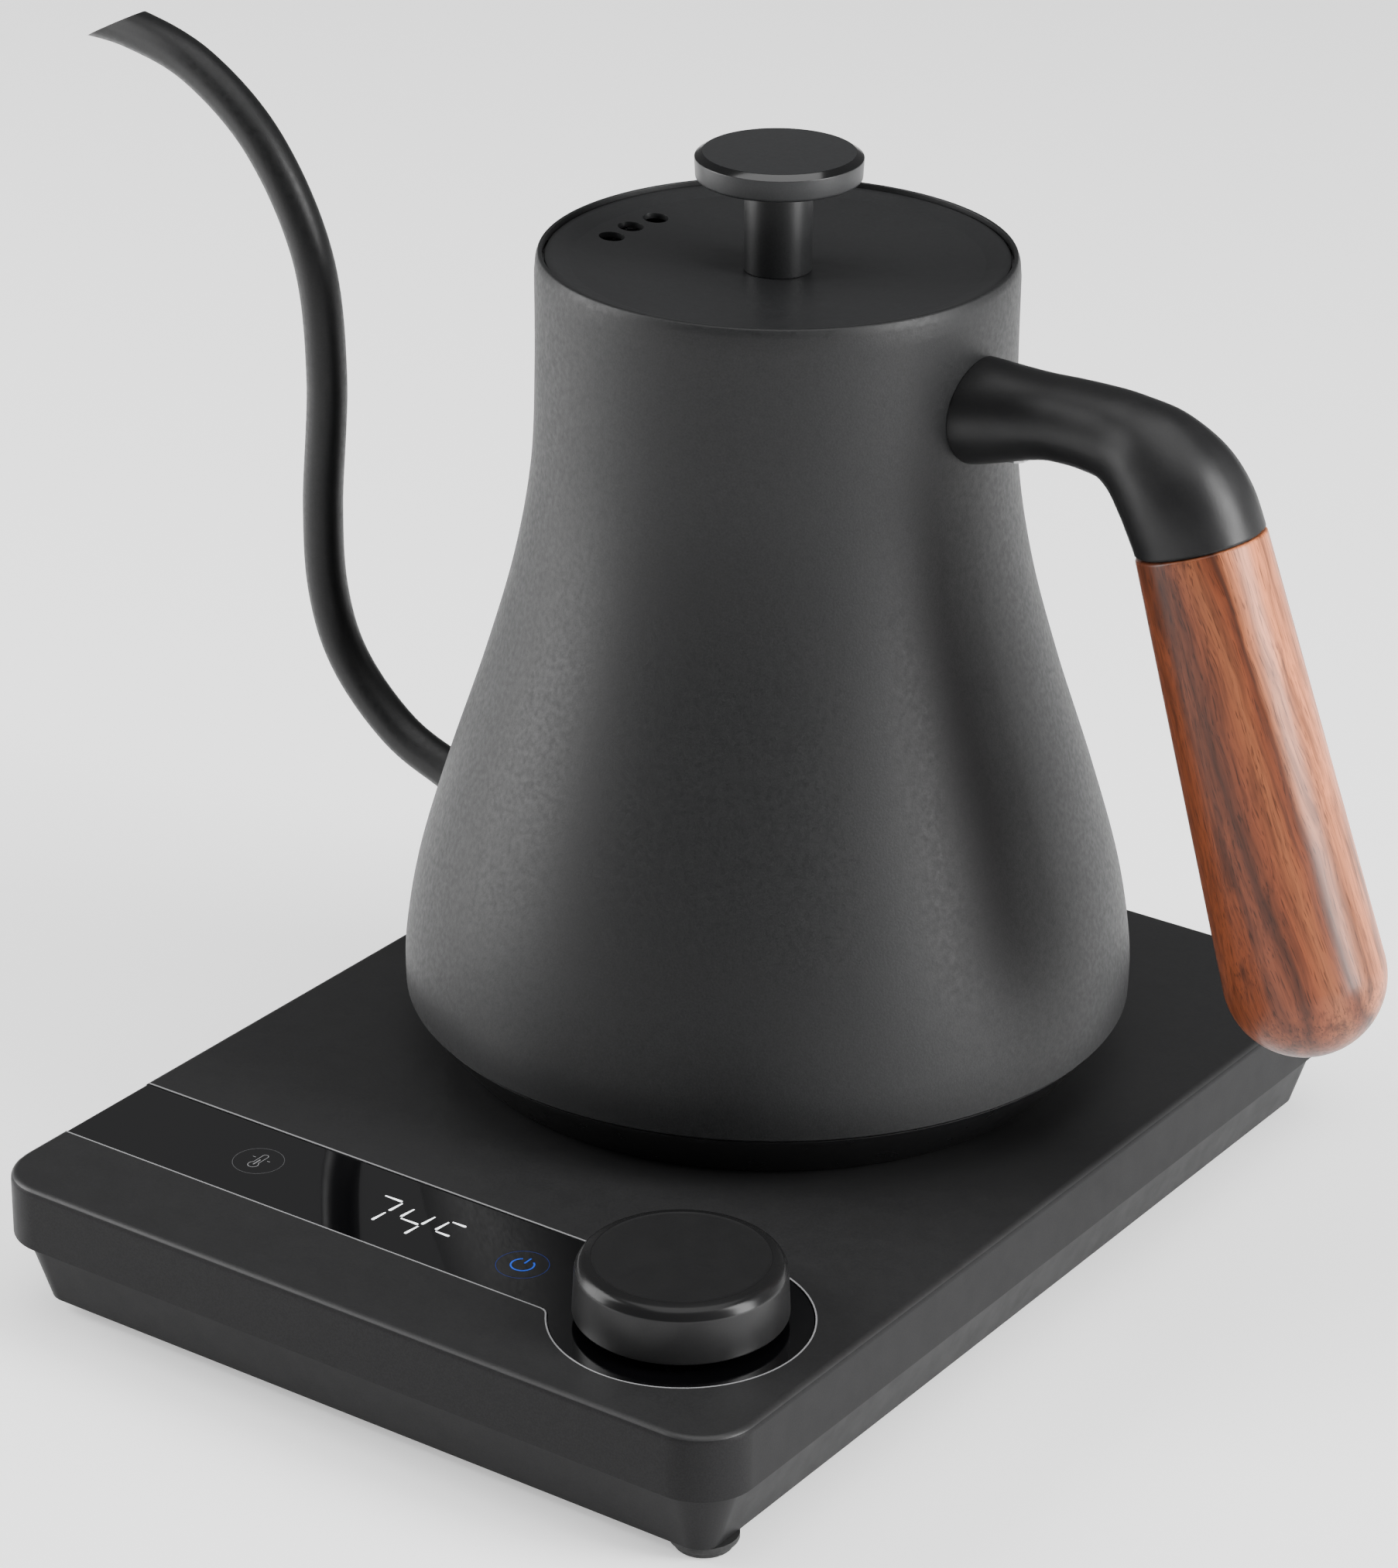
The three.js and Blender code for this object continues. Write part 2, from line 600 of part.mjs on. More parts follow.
function bodyShell() {
  const inner = bellPoints.map(([radius, z]) => [radius - BODY_WALL, z]).reverse();
  const rimEdge = [
    [NECK_RADIUS - 0.25, rim - 2], [NECK_RADIUS - 0.9, rim - 0.3], [NECK_RADIUS - 1.2, rim],
    [rimInner, rim - 0.3], [rimInner, rim - 1.2], [NECK_RADIUS - BODY_WALL, rim - 2],
  ];
  const shell = turnedRing([...bellPoints, ...rimEdge, ...inner], 40);
  const spoutHole = new THREE.CylinderGeometry(SPOUT_BORE, SPOUT_BORE, 12, 16)
    .rotateZ(Math.PI / 2).translate(-spoutRoot.x, 0, spoutRoot.z);
  return cut(shell, spoutHole);
}

const spoutRoot = { x: bodyRadius(bodyBottom + SPOUT_ROOT), z: bodyBottom + SPOUT_ROOT };

function neckCollar() {
  const outer = NECK_RADIUS - BODY_WALL - CLEARANCE;
  return turnedRing([
    [collarInner, collarTop - 3.6], [outer, collarTop - 3.6], [outer, collarTop], [collarInner, collarTop],
  ], 40);
}

function vesselFloorPlate() {
  const edge = bodyRadius(vesselFloor) - BODY_WALL - 2 * CLEARANCE;
  return turned([
    [0, vesselFloor - 1.2], [edge - 1.2, vesselFloor - 1.2], [edge - 1.2, vesselFloor - 3.4],
    [edge, vesselFloor - 3.4], [edge, vesselFloor], [0, vesselFloor],
  ], 40);
}

const heater = { radius: 42, pipe: 3.2, plate: 55 };
const plateTop = vesselFloor - 1.2 - CLEARANCE;
const heaterTop = plateTop - 1.4 - CLEARANCE;

function diffuserPlate() {
  return turned([[0, plateTop - 1.4], [heater.plate, plateTop - 1.4], [heater.plate, plateTop], [0, plateTop]]);
}

// open ring of heating pipe with its two cold ends turned down
function heatingElement() {
  const gap = radians(22);
  const centre = heaterTop - heater.pipe;
  const path = new THREE.CatmullRomCurve3(Array.from({ length: 13 }, (_, i) => {
    const angle = Math.PI + gap + ((TURN - 2 * gap) * i) / 12;
    return new THREE.Vector3(heater.radius * Math.cos(angle), heater.radius * Math.sin(angle), centre);
  }));
  const section = new THREE.Shape();
  section.absarc(0, 0, heater.pipe - 0.6, 0, TURN, false);
  return new THREE.ExtrudeGeometry(section, {
    steps: 30, curveSegments: 4, bevelEnabled: false, extrudePath: path,
  });
}

const ringFoot = BELLY_RADIUS - RING_TAPER;

function kettleBaseRing() {
  const top = BELLY_RADIUS - 0.3;
  const lip = bodyRadius(bodyBottom + 1) - BODY_WALL - 2 * CLEARANCE;
  return turnedRing([
    [ringFoot - 3, seat], [ringFoot - 0.6, seat], [ringFoot, seat + 0.5], [top - 0.5, seam - 0.7],
    [top, seam], [lip, seam], [lip, vesselFloor - 3.4 - CLEARANCE], [lip - 1.6, vesselFloor - 3.4 - CLEARANCE],
    [lip - 1.6, seam - 1.5], [ringFoot - 1.2, seat + 2.6], [ringFoot - 3, seat + 2.6],
  ], 40);
}

const recess = { radius: CONNECTOR_RADIUS + 2.5, roof: connectorTop + 1.5 };
const underScrews = [90, 210, 330].map((angle) => ({
  x: 50 * Math.cos(radians(angle)), y: 50 * Math.sin(radians(angle)),
}));

function kettleBottomCover() {
  const low = seat + 1;
  const edge = ringFoot - 3 - CLEARANCE;
  const cover = turnedRing([
    [recess.radius, low], [edge, low], [edge, low + 1.6], [recess.radius + 1.6, low + 1.6],
    [recess.radius + 1.6, recess.roof - CLEARANCE], [recess.radius, recess.roof - CLEARANCE],
  ]);
  return cut(cover, ...underScrews.map(({ x, y }) => post(1.2 + CLEARANCE, low - 1, low + 3, x, y, 16)));
}

function underScrew({ x, y }) {
  const head = seat + 0.2;
  return turned([
    [0, head], [2.2, head], [2.4, head + 0.5], [1.2, head + 0.5], [1.2, head + 6], [0, head + 6.4],
  ], 12).translate(x, y, 0);
}

function kettleConnector() {
  const roof = recess.roof;
  const disc = turned([
    [0, roof], [recess.radius + 1.6, roof], [recess.radius + 1.6, roof + 1.6], [8, roof + 1.6],
    [8, roof + 2.6], [0, roof + 2.6],
  ]);
  const blades = [groove.inner, groove.outer].map(([near, far]) => turnedRing([
    [near + 0.7, connectorTop - 3.4], [far - 0.7, connectorTop - 3.4], [far - 0.7, roof + 0.5],
    [near + 0.7, roof + 0.5],
  ]));
  return cut(join(disc, ...blades), post(PIN_RADIUS + CLEARANCE, roof - 3, roof + 4, 0, 0, 20));
}

function earthPin() {
  const roof = recess.roof;
  return turned([
    [0, connectorTop - 7], [PIN_RADIUS - 0.8, connectorTop - 7], [PIN_RADIUS, connectorTop - 6],
    [PIN_RADIUS, roof + 2.4], [0, roof + 2.4],
  ], 20);
}

function temperatureSensor() {
  return turned([
    [0, heaterTop - 3], [3, heaterTop - 3], [3, heaterTop - 1], [2.2, heaterTop - 1],
    [2.2, heaterTop], [0, heaterTop],
  ], 16).translate(recess.radius + 6.5, 0, 0);
}

function thermalCutout() {
  const reach = 0.71 * (recess.radius + 9);
  return post(5, heaterTop - 2.4, heaterTop, -reach, reach, 20);
}

// ---------------------------------------------------------------- spout
// share of the reach, share of the rise, from the root to just past the tip
const spoutShape = [
  [-0.08, -0.02], [0.0675, 0.019], [0.22, 0.062], [0.348, 0.145], [0.405, 0.242], [0.415, 0.37],
  [0.397, 0.562], [0.427, 0.729], [0.545, 0.871], [0.712, 0.959], [0.885, 0.994], [1.03, 1],
];
const spoutCurve = new THREE.CatmullRomCurve3(spoutShape.map(([out, up]) => new THREE.Vector3(
  -spoutRoot.x - SPOUT_REACH * out, 0, spoutRoot.z + SPOUT_RISE * up)));
const TIP_CUT = 27;                 // degrees that the open end leans from level

function tube(curve, radius, steps, curveSegments) {
  const section = new THREE.Shape();
  section.absarc(0, 0, radius, 0, TURN, false);
  return new THREE.ExtrudeGeometry(section, {
    steps, curveSegments, bevelEnabled: false, extrudePath: curve,
  });
}

function spout() {
  const lipZ = spoutRoot.z + SPOUT_RISE - SPOUT_RADIUS;
  const lipX = -spoutRoot.x - SPOUT_REACH;
  const away = new THREE.BoxGeometry(60, 40, 30).translate(0, 0, 15)
    .rotateY(radians(-TIP_CUT)).translate(lipX, 0, lipZ);
  return cut(tube(spoutCurve, SPOUT_RADIUS, 36, 6), tube(spoutCurve, SPOUT_BORE, 36, 4), away,
    bellSolid(CLEARANCE));
}

// ---------------------------------------------------------------- handle
const armRoot = { x: NECK_RADIUS, z: rim - ARM_DROP };
const gripAxis = new THREE.Vector3(Math.sin(radians(GRIP_TILT)), 0, -Math.cos(radians(GRIP_TILT)));
const gripJoint = new THREE.Vector3(armRoot.x + ARM_REACH, 0, armRoot.z - JOINT_DROP);

// share of the reach from body to joint, height over the root, and radius
const armShape = [
  [-0.2, -1.1, 10.8], [0, 0, 10.2], [0.27, 1.7, 8.3], [0.41, 2.1, 8.1], [0.53, 1.95, 8.3],
  [0.648, 1.2, 8.85], [0.771, -1.2, 10.4], [0.876, -5.1, 11.6], [0.948, -9.5, 12],
];
const armPoints = armShape.map(([out, up]) => new THREE.Vector3(
  armRoot.x + ARM_REACH * out, 0, armRoot.z + up));
const armEnd = gripJoint.clone().addScaledVector(gripAxis, 3);
const armCurve = new THREE.CatmullRomCurve3([...armPoints, gripJoint, armEnd], false, 'centripetal');
const joinRadius = GRIP_TOP_RADIUS - 0.3;
const armRadii = [...armShape.map(([, , radius]) => radius), joinRadius, joinRadius];

// place a solid drawn along +Z from the grip joint
function onGrip(geometry) {
  const turn = new THREE.Quaternion().setFromUnitVectors(new THREE.Vector3(0, 0, 1), gripAxis);
  return geometry.applyQuaternion(turn).translate(gripJoint.x, 0, gripJoint.z);
}

const rodDepth = { arm: 12, grip: 62 };
const bracket = { radius: 5, length: 12 };
const armScrewX = armRoot.x + 8;

function handleArm() {
  const lengths = armCurve.getLengths(armRadii.length * 20 - 20);
  const knots = armRadii.map((_, i) => lengths[i * 20] / lengths.at(-1));
  const radiusAt = (share) => {
    const above = Math.max(1, knots.findIndex((knot) => knot >= share - 1e-9));
    const part = (share - knots[above - 1]) / (knots[above] - knots[above - 1]);
    const eased = part * part * (3 - 2 * part);
    return armRadii[above - 1] + (armRadii[above] - armRadii[above - 1]) * (0.5 * part + 0.5 * eased);
  };
  const arm = sweep(armCurve, radiusAt, 20, 20);
  const rodBore = onGrip(post(ROD_RADIUS + CLEARANCE, -rodDepth.arm, 1, 0, 0, 16));
  const pocket = new THREE.CylinderGeometry(bracket.radius + CLEARANCE, bracket.radius + CLEARANCE,
    bracket.length + 10 + CLEARANCE, 20).rotateZ(Math.PI / 2)
    .translate(armRoot.x + (bracket.length + CLEARANCE - 10) / 2, 0, armRoot.z);
  const screwHole = post(2.6 + CLEARANCE, armRoot.z - 14, armRoot.z - 5.6, armScrewX, 0, 16);
  const shankHole = post(screwShank + CLEARANCE, armRoot.z - 6, armRoot.z, armScrewX, 0, 16);
  const past = onGrip(block(-25, 25, -25, 25, 0, 10));
  return cut(arm, past, rodBore, pocket, bellSolid(CLEARANCE), screwHole, shankHole);
}

function handleBracket() {
  const boss = new THREE.CylinderGeometry(bracket.radius, bracket.radius, bracket.length + 10, 20)
    .rotateZ(Math.PI / 2).translate(armRoot.x + (bracket.length - 10) / 2, 0, armRoot.z);
  const threadHole = post(screwShank + CLEARANCE, armRoot.z - 9, armRoot.z + 1.5, armScrewX, 0, 16);
  return cut(boss, bellSolid(CLEARANCE), threadHole);
}

function handleScrew() {
  const head = armRoot.z - 8;
  return turned([
    [0, head], [2.4, head], [2.6, head + 0.4], [2.6, head + 1.8], [screwShank, head + 1.8],
    [screwShank, armRoot.z + 1], [0, armRoot.z + 1],
  ], 16).translate(armScrewX, 0, 0);
}

const gripStart = WASHER + 2 * CLEARANCE;

function gripWasher() {
  return onGrip(turnedRing([
    [ROD_RADIUS + CLEARANCE, CLEARANCE], [GRIP_TOP_RADIUS - 1.2, CLEARANCE],
    [GRIP_TOP_RADIUS - 1.2, CLEARANCE + WASHER], [ROD_RADIUS + CLEARANCE, CLEARANCE + WASHER],
  ], 32));
}

function woodGrip() {
  const dome = GRIP_END_RADIUS;
  const straight = GRIP_LENGTH - dome;
  const radiusAt = (along) => GRIP_TOP_RADIUS
    + ((GRIP_END_RADIUS - GRIP_TOP_RADIUS) * along) / straight;
  const end = Array.from({ length: 9 }, (_, i) => {
    const angle = (Math.PI / 2) * (i / 8);
    return [GRIP_END_RADIUS * Math.cos(angle), straight + dome * Math.sin(angle)];
  });
  const profile = [
    [0, gripStart], [GRIP_TOP_RADIUS - 0.6, gripStart], [GRIP_TOP_RADIUS, gripStart + 0.6],
    [radiusAt(straight * 0.5), straight * 0.5], ...end,
  ];
  const bore = post(ROD_RADIUS + CLEARANCE, -1, rodDepth.grip, 0, 0, 16);
  return onGrip(cut(turned(profile, 32), bore));
}

function handleRod() {
  return onGrip(post(ROD_RADIUS, CLEARANCE - rodDepth.arm, rodDepth.grip - CLEARANCE, 0, 0, 16));
}

add('body_shell', bodyShell(), 'powderCoat');
add('neck_collar', neckCollar(), 'steel');
add('vessel_floor', vesselFloorPlate(), 'steel');
add('diffuser_plate', diffuserPlate(), 'aluminium');
add('heating_element', heatingElement(), 'steel');
add('temperature_sensor', temperatureSensor(), 'component');
add('thermal_cutout', thermalCutout(), 'component');
add('kettle_base_ring', kettleBaseRing(), 'blackPlastic');
add('kettle_bottom_cover', kettleBottomCover(), 'blackPlastic');
underScrews.forEach((place, i) => add(`bottom_screw_${i + 1}`, underScrew(place), 'steel'));
add('kettle_connector', kettleConnector(), 'blackPlastic');
add('connector_pin', earthPin(), 'brass');
add('spout', spout(), 'powderCoat');
add('handle_bracket', handleBracket(), 'steel');
add('handle_screw', handleScrew(), 'steel');
add('handle_arm', handleArm(), 'blackPlastic');
add('grip_washer', gripWasher(), 'rubber');
add('wood_grip', woodGrip(), 'wood');
add('handle_rod', handleRod(), 'steel');

// ---------------------------------------------------------------- lid
const bandInner = lidRadius - 3.2;
const cup = { outer: collarInner - 2.8, wall: 1.2, low: collarTop - 11.5, high: lidCentre - LID_THICKNESS - CLEARANCE };
const lidScrewTop = lidCentre + 10;
const steamPlaces = STEAM_HOLE_ANGLES.map((angle) => ({
  x: STEAM_HOLE_PLACE * Math.cos(radians(angle)), y: STEAM_HOLE_PLACE * Math.sin(radians(angle)),
}));

// height of the lid's upper face, dished towards its centre
function lidHeight(radius) {
  const share = Math.min(1, radius / bandInner);
  return lidCentre + LID_DISH * share ** 1.6;
}

function lidPlate() {
  const dish = [0, 0.2, 0.4, 0.6, 0.8, 0.92, 1].map((share) => [
    bandInner * share, lidHeight(bandInner * share)]);
  const under = dish.map(([radius, z]) => [radius, z - LID_THICKNESS]).reverse();
  const plateSolid = turned([
    ...dish, [lidRadius - 0.4, lidTop], [lidRadius, lidTop - 0.4], [lidRadius, lidTop - LID_THICKNESS],
    ...under,
  ], 40);
  const holes = steamPlaces
    .map(({ x, y }) => post(STEAM_HOLE_RADIUS, lidCentre - 6, lidTop + 2, x, y, 20));
  return cut(plateSolid, post(2 + CLEARANCE, lidCentre - 6, lidTop, 0, 0, 16), ...holes);
}

function lidCup() {
  const { outer, wall, low, high } = cup;
  const body = turnedRing([
    [2 + CLEARANCE, low], [outer, low], [outer, high], [outer - wall, high], [outer - wall, low + wall],
    [7, low + wall], [7, high], [2 + CLEARANCE, high],
  ], 32);
  const vents = steamPlaces.map(({ x, y }) => post(STEAM_HOLE_RADIUS, low - 1, low + 3, x * 0.8, y * 0.8, 16));
  return cut(body, ...vents);
}

function lidSeal() {
  const [near, far] = [cup.outer + CLEARANCE, collarInner - CLEARANCE];
  const [low, high] = [collarTop - 8, collarTop - 3];
  return turnedRing([
    [near, low], [far - 0.9, low], [far, low + 1], [far - 0.9, low + 2], [far - 0.9, high - 2],
    [far, high - 1], [far - 0.9, high], [near, high],
  ]);
}

function lidStem() {
  const low = lidCentre + CLEARANCE;
  const stem = turned([
    [0, low], [STEM_RADIUS, low], [STEM_RADIUS, low + STEM_HEIGHT], [3, low + STEM_HEIGHT],
    [3, low + STEM_HEIGHT + 2], [0, low + STEM_HEIGHT + 2],
  ], 32);
  return cut(stem, post(2 + CLEARANCE, low - 1, lidScrewTop + CLEARANCE, 0, 0, 16));
}

function lidKnob() {
  const [low, high] = [knobDiscBottom, knobDiscBottom + LID_KNOB_HEIGHT];
  const disc = turned([
    [0, low], [LID_KNOB_RADIUS - 0.5, low], [LID_KNOB_RADIUS, low + 0.5], [LID_KNOB_RADIUS - 0.1, high - 0.9],
    [LID_KNOB_RADIUS - 1.5, high], [0, high],
  ]);
  return cut(disc, post(3 + CLEARANCE, low - 1, low + 1.7 + 2 * CLEARANCE, 0, 0, 20));
}

function lidScrew() {
  const head = cup.low - 2.4;
  return turned([
    [0, head], [3.4, head], [3.8, head + 0.5], [3.8, cup.low - CLEARANCE], [2, cup.low - CLEARANCE],
    [2, lidScrewTop], [0, lidScrewTop],
  ], 20);
}

add('lid_plate', lidPlate(), 'satinPlastic');
add('lid_cup', lidCup(), 'blackPlastic');
add('lid_seal', lidSeal(), 'silicone');
add('lid_stem', lidStem(), 'satinPlastic');
add('lid_knob', lidKnob(), 'satinPlastic');
add('lid_screw', lidScrew(), 'steel');

// ---------------------------------------------------------------- origin at the bottom centre
const bounds = new THREE.Box3().setFromObject(model);
const middle = bounds.getCenter(new THREE.Vector3());
model.position.set(-middle.x, -middle.y, -bounds.min.z);
model.updateMatrixWorld(true);

export default model;
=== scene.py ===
"""Looks of a gooseneck electric kettle and its power base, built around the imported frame."""

import json
import math

import bmesh
import bpy
from bpy.props import FloatProperty, FloatVectorProperty, IntProperty, PointerProperty
from mathutils import Matrix, Vector


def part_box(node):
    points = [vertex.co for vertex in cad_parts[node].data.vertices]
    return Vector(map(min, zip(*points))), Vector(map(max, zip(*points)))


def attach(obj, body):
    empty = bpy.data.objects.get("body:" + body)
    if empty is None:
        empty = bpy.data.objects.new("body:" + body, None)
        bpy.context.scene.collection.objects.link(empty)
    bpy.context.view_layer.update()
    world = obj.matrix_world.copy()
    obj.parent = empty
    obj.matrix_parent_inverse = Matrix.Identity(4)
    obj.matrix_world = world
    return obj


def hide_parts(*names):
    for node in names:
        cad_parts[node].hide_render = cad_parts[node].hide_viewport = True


bl_info = {
    "name": "Gooseneck Kettle",
    "version": (1, 0, 0),
    "blender": (4, 5, 0),
    "location": "View3D > Sidebar > Kettle",
    "description": "Models a gooseneck electric kettle standing on its power base",
    "category": "Add Mesh",
}

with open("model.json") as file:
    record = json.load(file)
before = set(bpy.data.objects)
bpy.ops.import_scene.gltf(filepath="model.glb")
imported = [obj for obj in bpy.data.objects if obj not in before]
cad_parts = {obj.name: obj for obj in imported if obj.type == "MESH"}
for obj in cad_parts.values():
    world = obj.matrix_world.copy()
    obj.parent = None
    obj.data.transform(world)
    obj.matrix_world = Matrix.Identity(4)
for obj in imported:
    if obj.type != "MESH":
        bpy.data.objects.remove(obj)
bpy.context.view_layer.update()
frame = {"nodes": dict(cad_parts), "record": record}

MM = 0.001
FIT = 0.3 * MM  # gap between pieces that touch
UP = Vector((0, 0, 1))
ORIGIN = Vector((0, 0, 0))
TINY = 1e-6  # tolerance of a height or place
CORNERS = ("front_left", "front_right", "rear_left", "rear_right")
STEAM_ANGLES = [math.radians(degrees) for degrees in (167.5, 179.3, 191.1)]

SHELL_LOW, SHELL_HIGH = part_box("body_shell")
COVER_LOW, COVER_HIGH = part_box("base_top_cover")
TRAY_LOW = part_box("base_bottom_cover")[0]
KNOB_LOW, KNOB_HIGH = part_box("control_knob")
WINDOW_LOW, WINDOW_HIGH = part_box("display_window")
SOCKET_LOW, SOCKET_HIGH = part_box("base_connector")
RING_LOW, RING_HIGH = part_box("kettle_base_ring")
PLATE_LOW, PLATE_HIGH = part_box("lid_plate")
STEM_LOW, STEM_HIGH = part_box("lid_stem")
PULL_LOW, PULL_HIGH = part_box("lid_knob")
CUP_LOW, CUP_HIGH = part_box("lid_cup")
GLAND_LOW, GLAND_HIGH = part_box("cord_gland")

AXIS = Vector(((SHELL_LOW.x + SHELL_HIGH.x) / 2, (SHELL_LOW.y + SHELL_HIGH.y) / 2, 0))
KNOB_AXIS = Vector(((KNOB_LOW.x + KNOB_HIGH.x) / 2, (KNOB_LOW.y + KNOB_HIGH.y) / 2, 0))
SEAM = SHELL_LOW.z
RIM = SHELL_HIGH.z
BASE_TOP = COVER_HIGH.z
STRIP_TOP = WINDOW_HIGH.z


# ------------------------------------------------------------------ sizes and colours
def length(name, about, default):
    return FloatProperty(name=name, description=about, default=default * MM, unit="LENGTH", precision=4)


def angle(name, about, degrees):
    return FloatProperty(name=name, description=about, default=math.radians(degrees), subtype="ANGLE")


def colour(name, about, default):
    return FloatVectorProperty(
        name=name, description=about, default=default, subtype="COLOR", size=3, min=0, max=1,
    )


class PowerBaseSizes(bpy.types.PropertyGroup):
    corner: length("Corner radius", "Upright corner of the top cover", 11.3)
    fillet: length("Edge fillet", "Rounding along the top edge", 1.5)
    wall: length("Wall", "Thickness of the covers", 2.4)
    set_back: length("Set-back", "Lower cover's set-back under the upper one", 2.5)
    taper: length("Taper", "How much further in the lower cover's foot is", 4.3)
    parting: length("Parting line", "Floor to the joint between the covers", 17)


class ControlSizes(bpy.types.PropertyGroup):
    strip_width: length("Strip width", "Width of the touch strip", 24)
    ring: length("Round end", "Radius of the strip's round end under the knob", 24.3)
    inner_fillet: length("Inner fillet", "Rounding where the strip meets its round end", 3)
    digit_height: length("Digit height", "Height of the readout's digits", 9.2)
    digit_width: length("Digit width", "Width of the readout's digits", 5)
    icon_ring: length("Icon ring", "Radius of the rings around the touch icons", 5)
    knob_bevel: length("Knob bevel", "Width of the knob's glossy edge band", 3.0)


class KettleSizes(bpy.types.PropertyGroup):
    belly: length("Belly radius", "Widest radius of the body", 72.4)
    neck: length("Neck radius", "Radius of the straight neck", 46.1)
    wall: length("Wall", "Thickness of the body's sheet", 1)
    turns: IntProperty(name="Turning steps", description="Facets around it", default=192, min=48, max=256)
    spout: length("Spout radius", "Outside radius of the spout", 4.2)
    bore: length("Spout bore", "Inside radius of the spout", 3.3)


class HandleSizes(bpy.types.PropertyGroup):
    reach: length("Reach", "Body side to the grip joint", 47.7)
    joint_drop: length("Joint drop", "Arm's centre at the body to the grip joint", 14.7)
    drop: length("Drop", "Rim to the arm's centre at the body", 22)
    grip: length("Grip length", "Length of the wooden grip", 100.5)
    grip_top: length("Grip top radius", "Grip's radius at the joint", 12.4)
    grip_end: length("Grip end radius", "Grip's radius at its rounded end", 15.4)
    tilt: angle("Tilt", "Grip's lean from upright", 18.4)


class LidSizes(bpy.types.PropertyGroup):
    dish: length("Dish", "Centre of the lid under its edge band", 2.9)
    band: length("Edge band", "Width of the raised band along the edge", 4.8)
    steam_hole: length("Steam hole radius", "Radius of each steam hole", 2.5)
    steam_place: length("Steam hole place", "Lid centre to the steam holes", 34.6)
    chamfer: length("Knob chamfer", "Chamfer around the lid knob's top", 1.5)


class FinishColours(bpy.types.PropertyGroup):
    coat: colour("Powder coat", "Body and spout", (0.0075, 0.0077, 0.008))
    shell: colour("Base plastic", "Power base covers", (0.0125, 0.0125, 0.0128))
    gloss: colour("Gloss panel", "Touch strip", (0.0015, 0.0015, 0.0018))
    arm: colour("Arm plastic", "Handle arm and other black mouldings", (0.0055, 0.0055, 0.0058))
    # The light wood tone is partly real lighter wood and partly painted highlight: the grip's bands use it,
    # scaled up, on the side towards the key light.
    wood_light_and_highlight: colour("Light wood", "Sapwood tone of the grip", (0.40, 0.130, 0.055))
    wood_mid: colour("Middle wood", "Main tone of the grip", (0.165, 0.044, 0.018))
    wood_dark: colour("Dark wood", "Streaks of the grip", (0.017, 0.006, 0.0038))
    print_white: colour("Readout", "Digits of the readout", (0.86, 0.88, 0.9))
    print_blue: colour("Power icon", "Lit ring of the power key", (0.004, 0.05, 0.42))


class StageSettings(bpy.types.PropertyGroup):
    azimuth: angle("Azimuth", "Camera's turn around the kettle", 34.93)
    elevation: angle("Elevation", "Camera's height angle", 24.55)
    roll: angle("Roll", "Camera's lean", 0.51)
    distance: length("Distance", "Camera to the point it looks at", 1019.36)
    focal: FloatProperty(name="Lens", description="Focal length in millimetres", default=117.01)


# ------------------------------------------------------------------ modelling helpers
def rounded(points, segments=5):
    """Profile whose points with a third value, a radius in millimetres, become rounded corners."""
    flat = []
    for i, (r, z, *radius) in enumerate(points):
        here = Vector((r, z))
        if not radius:
            flat.append(here)
            continue
        arms = [Vector(points[(i + k) % len(points)][:2]) - here for k in (-1, 1)]
        reach = min(radius[0] * MM, 0.49 * arms[0].length, 0.49 * arms[1].length)
        ends = [here + arm.normalized() * reach for arm in arms]
        for step in range(segments + 1):
            t = step / segments
            flat.append(ends[0] * (1 - t) ** 2 + here * 2 * t * (1 - t) + ends[1] * t * t)
    return flat


def through(points, steps=6):
    """Smooth curve through points of any number of coordinates."""
    knots = [Vector(p) for p in points]
    run = []
    for i in range(len(knots) - 1):
        a, b = knots[i], knots[i + 1]
        before, after = knots[max(i - 1, 0)], knots[min(i + 2, len(knots) - 1)]
        lead, trail = a + (b - before) / 6, b - (after - a) / 6
        for step in range(steps):
            t = step / steps
            s = 1 - t
            run.append(a * s**3 + lead * 3 * s * s * t + trail * 3 * s * t * t + b * t**3)
    return run + [knots[-1]]


def turned(profile, centre=AXIS, steps=128, closed=False):
    """Spin a profile of (radius, height) points about an upright axis."""
    bm = bmesh.new()
    verts = [bm.verts.new((centre.x + p[0], centre.y, p[1])) for p in profile]
    pairs = list(zip(verts, verts[1:])) + ([(verts[-1], verts[0])] if closed else [])
    edges = [bm.edges.new(pair) for pair in pairs]
    bmesh.ops.spin(
        bm, geom=verts + edges, cent=(centre.x, centre.y, 0), axis=UP,
        angle=math.tau, steps=steps, use_merge=True,
    )
    bmesh.ops.remove_doubles(bm, verts=bm.verts, dist=1e-7)
    bmesh.ops.recalc_face_normals(bm, faces=bm.faces)
    return bm


def disc(radius, low, high, x, y, segments=48):
    """Closed upright cylinder between two heights."""
    bm = bmesh.new()
    place = Matrix.Translation((x, y, (low + high) / 2))
    bmesh.ops.create_cone(
        bm, cap_ends=True, segments=segments, radius1=radius, radius2=radius,
        depth=high - low, matrix=place,
    )
    return bm


def block(low, high):
    """Closed upright box between two corners."""
    low, high = Vector(low), Vector(high)
    bm = bmesh.new()
    place = Matrix.Translation((low + high) / 2) @ Matrix.Diagonal((*(high - low), 1))
    bmesh.ops.create_cube(bm, size=1, matrix=place)
    return bm


def bevel(bm, edges, width, segments):
    bmesh.ops.bevel(
        bm, geom=edges, offset=width, offset_type="OFFSET", segments=segments,
        profile=0.5, affect="EDGES", material=-1, clamp_overlap=True,
    )


def level(bm, z):
    """Edges that lie at a height."""
    return [e for e in bm.edges if all(abs(v.co.z - z) < TINY for v in e.verts)]


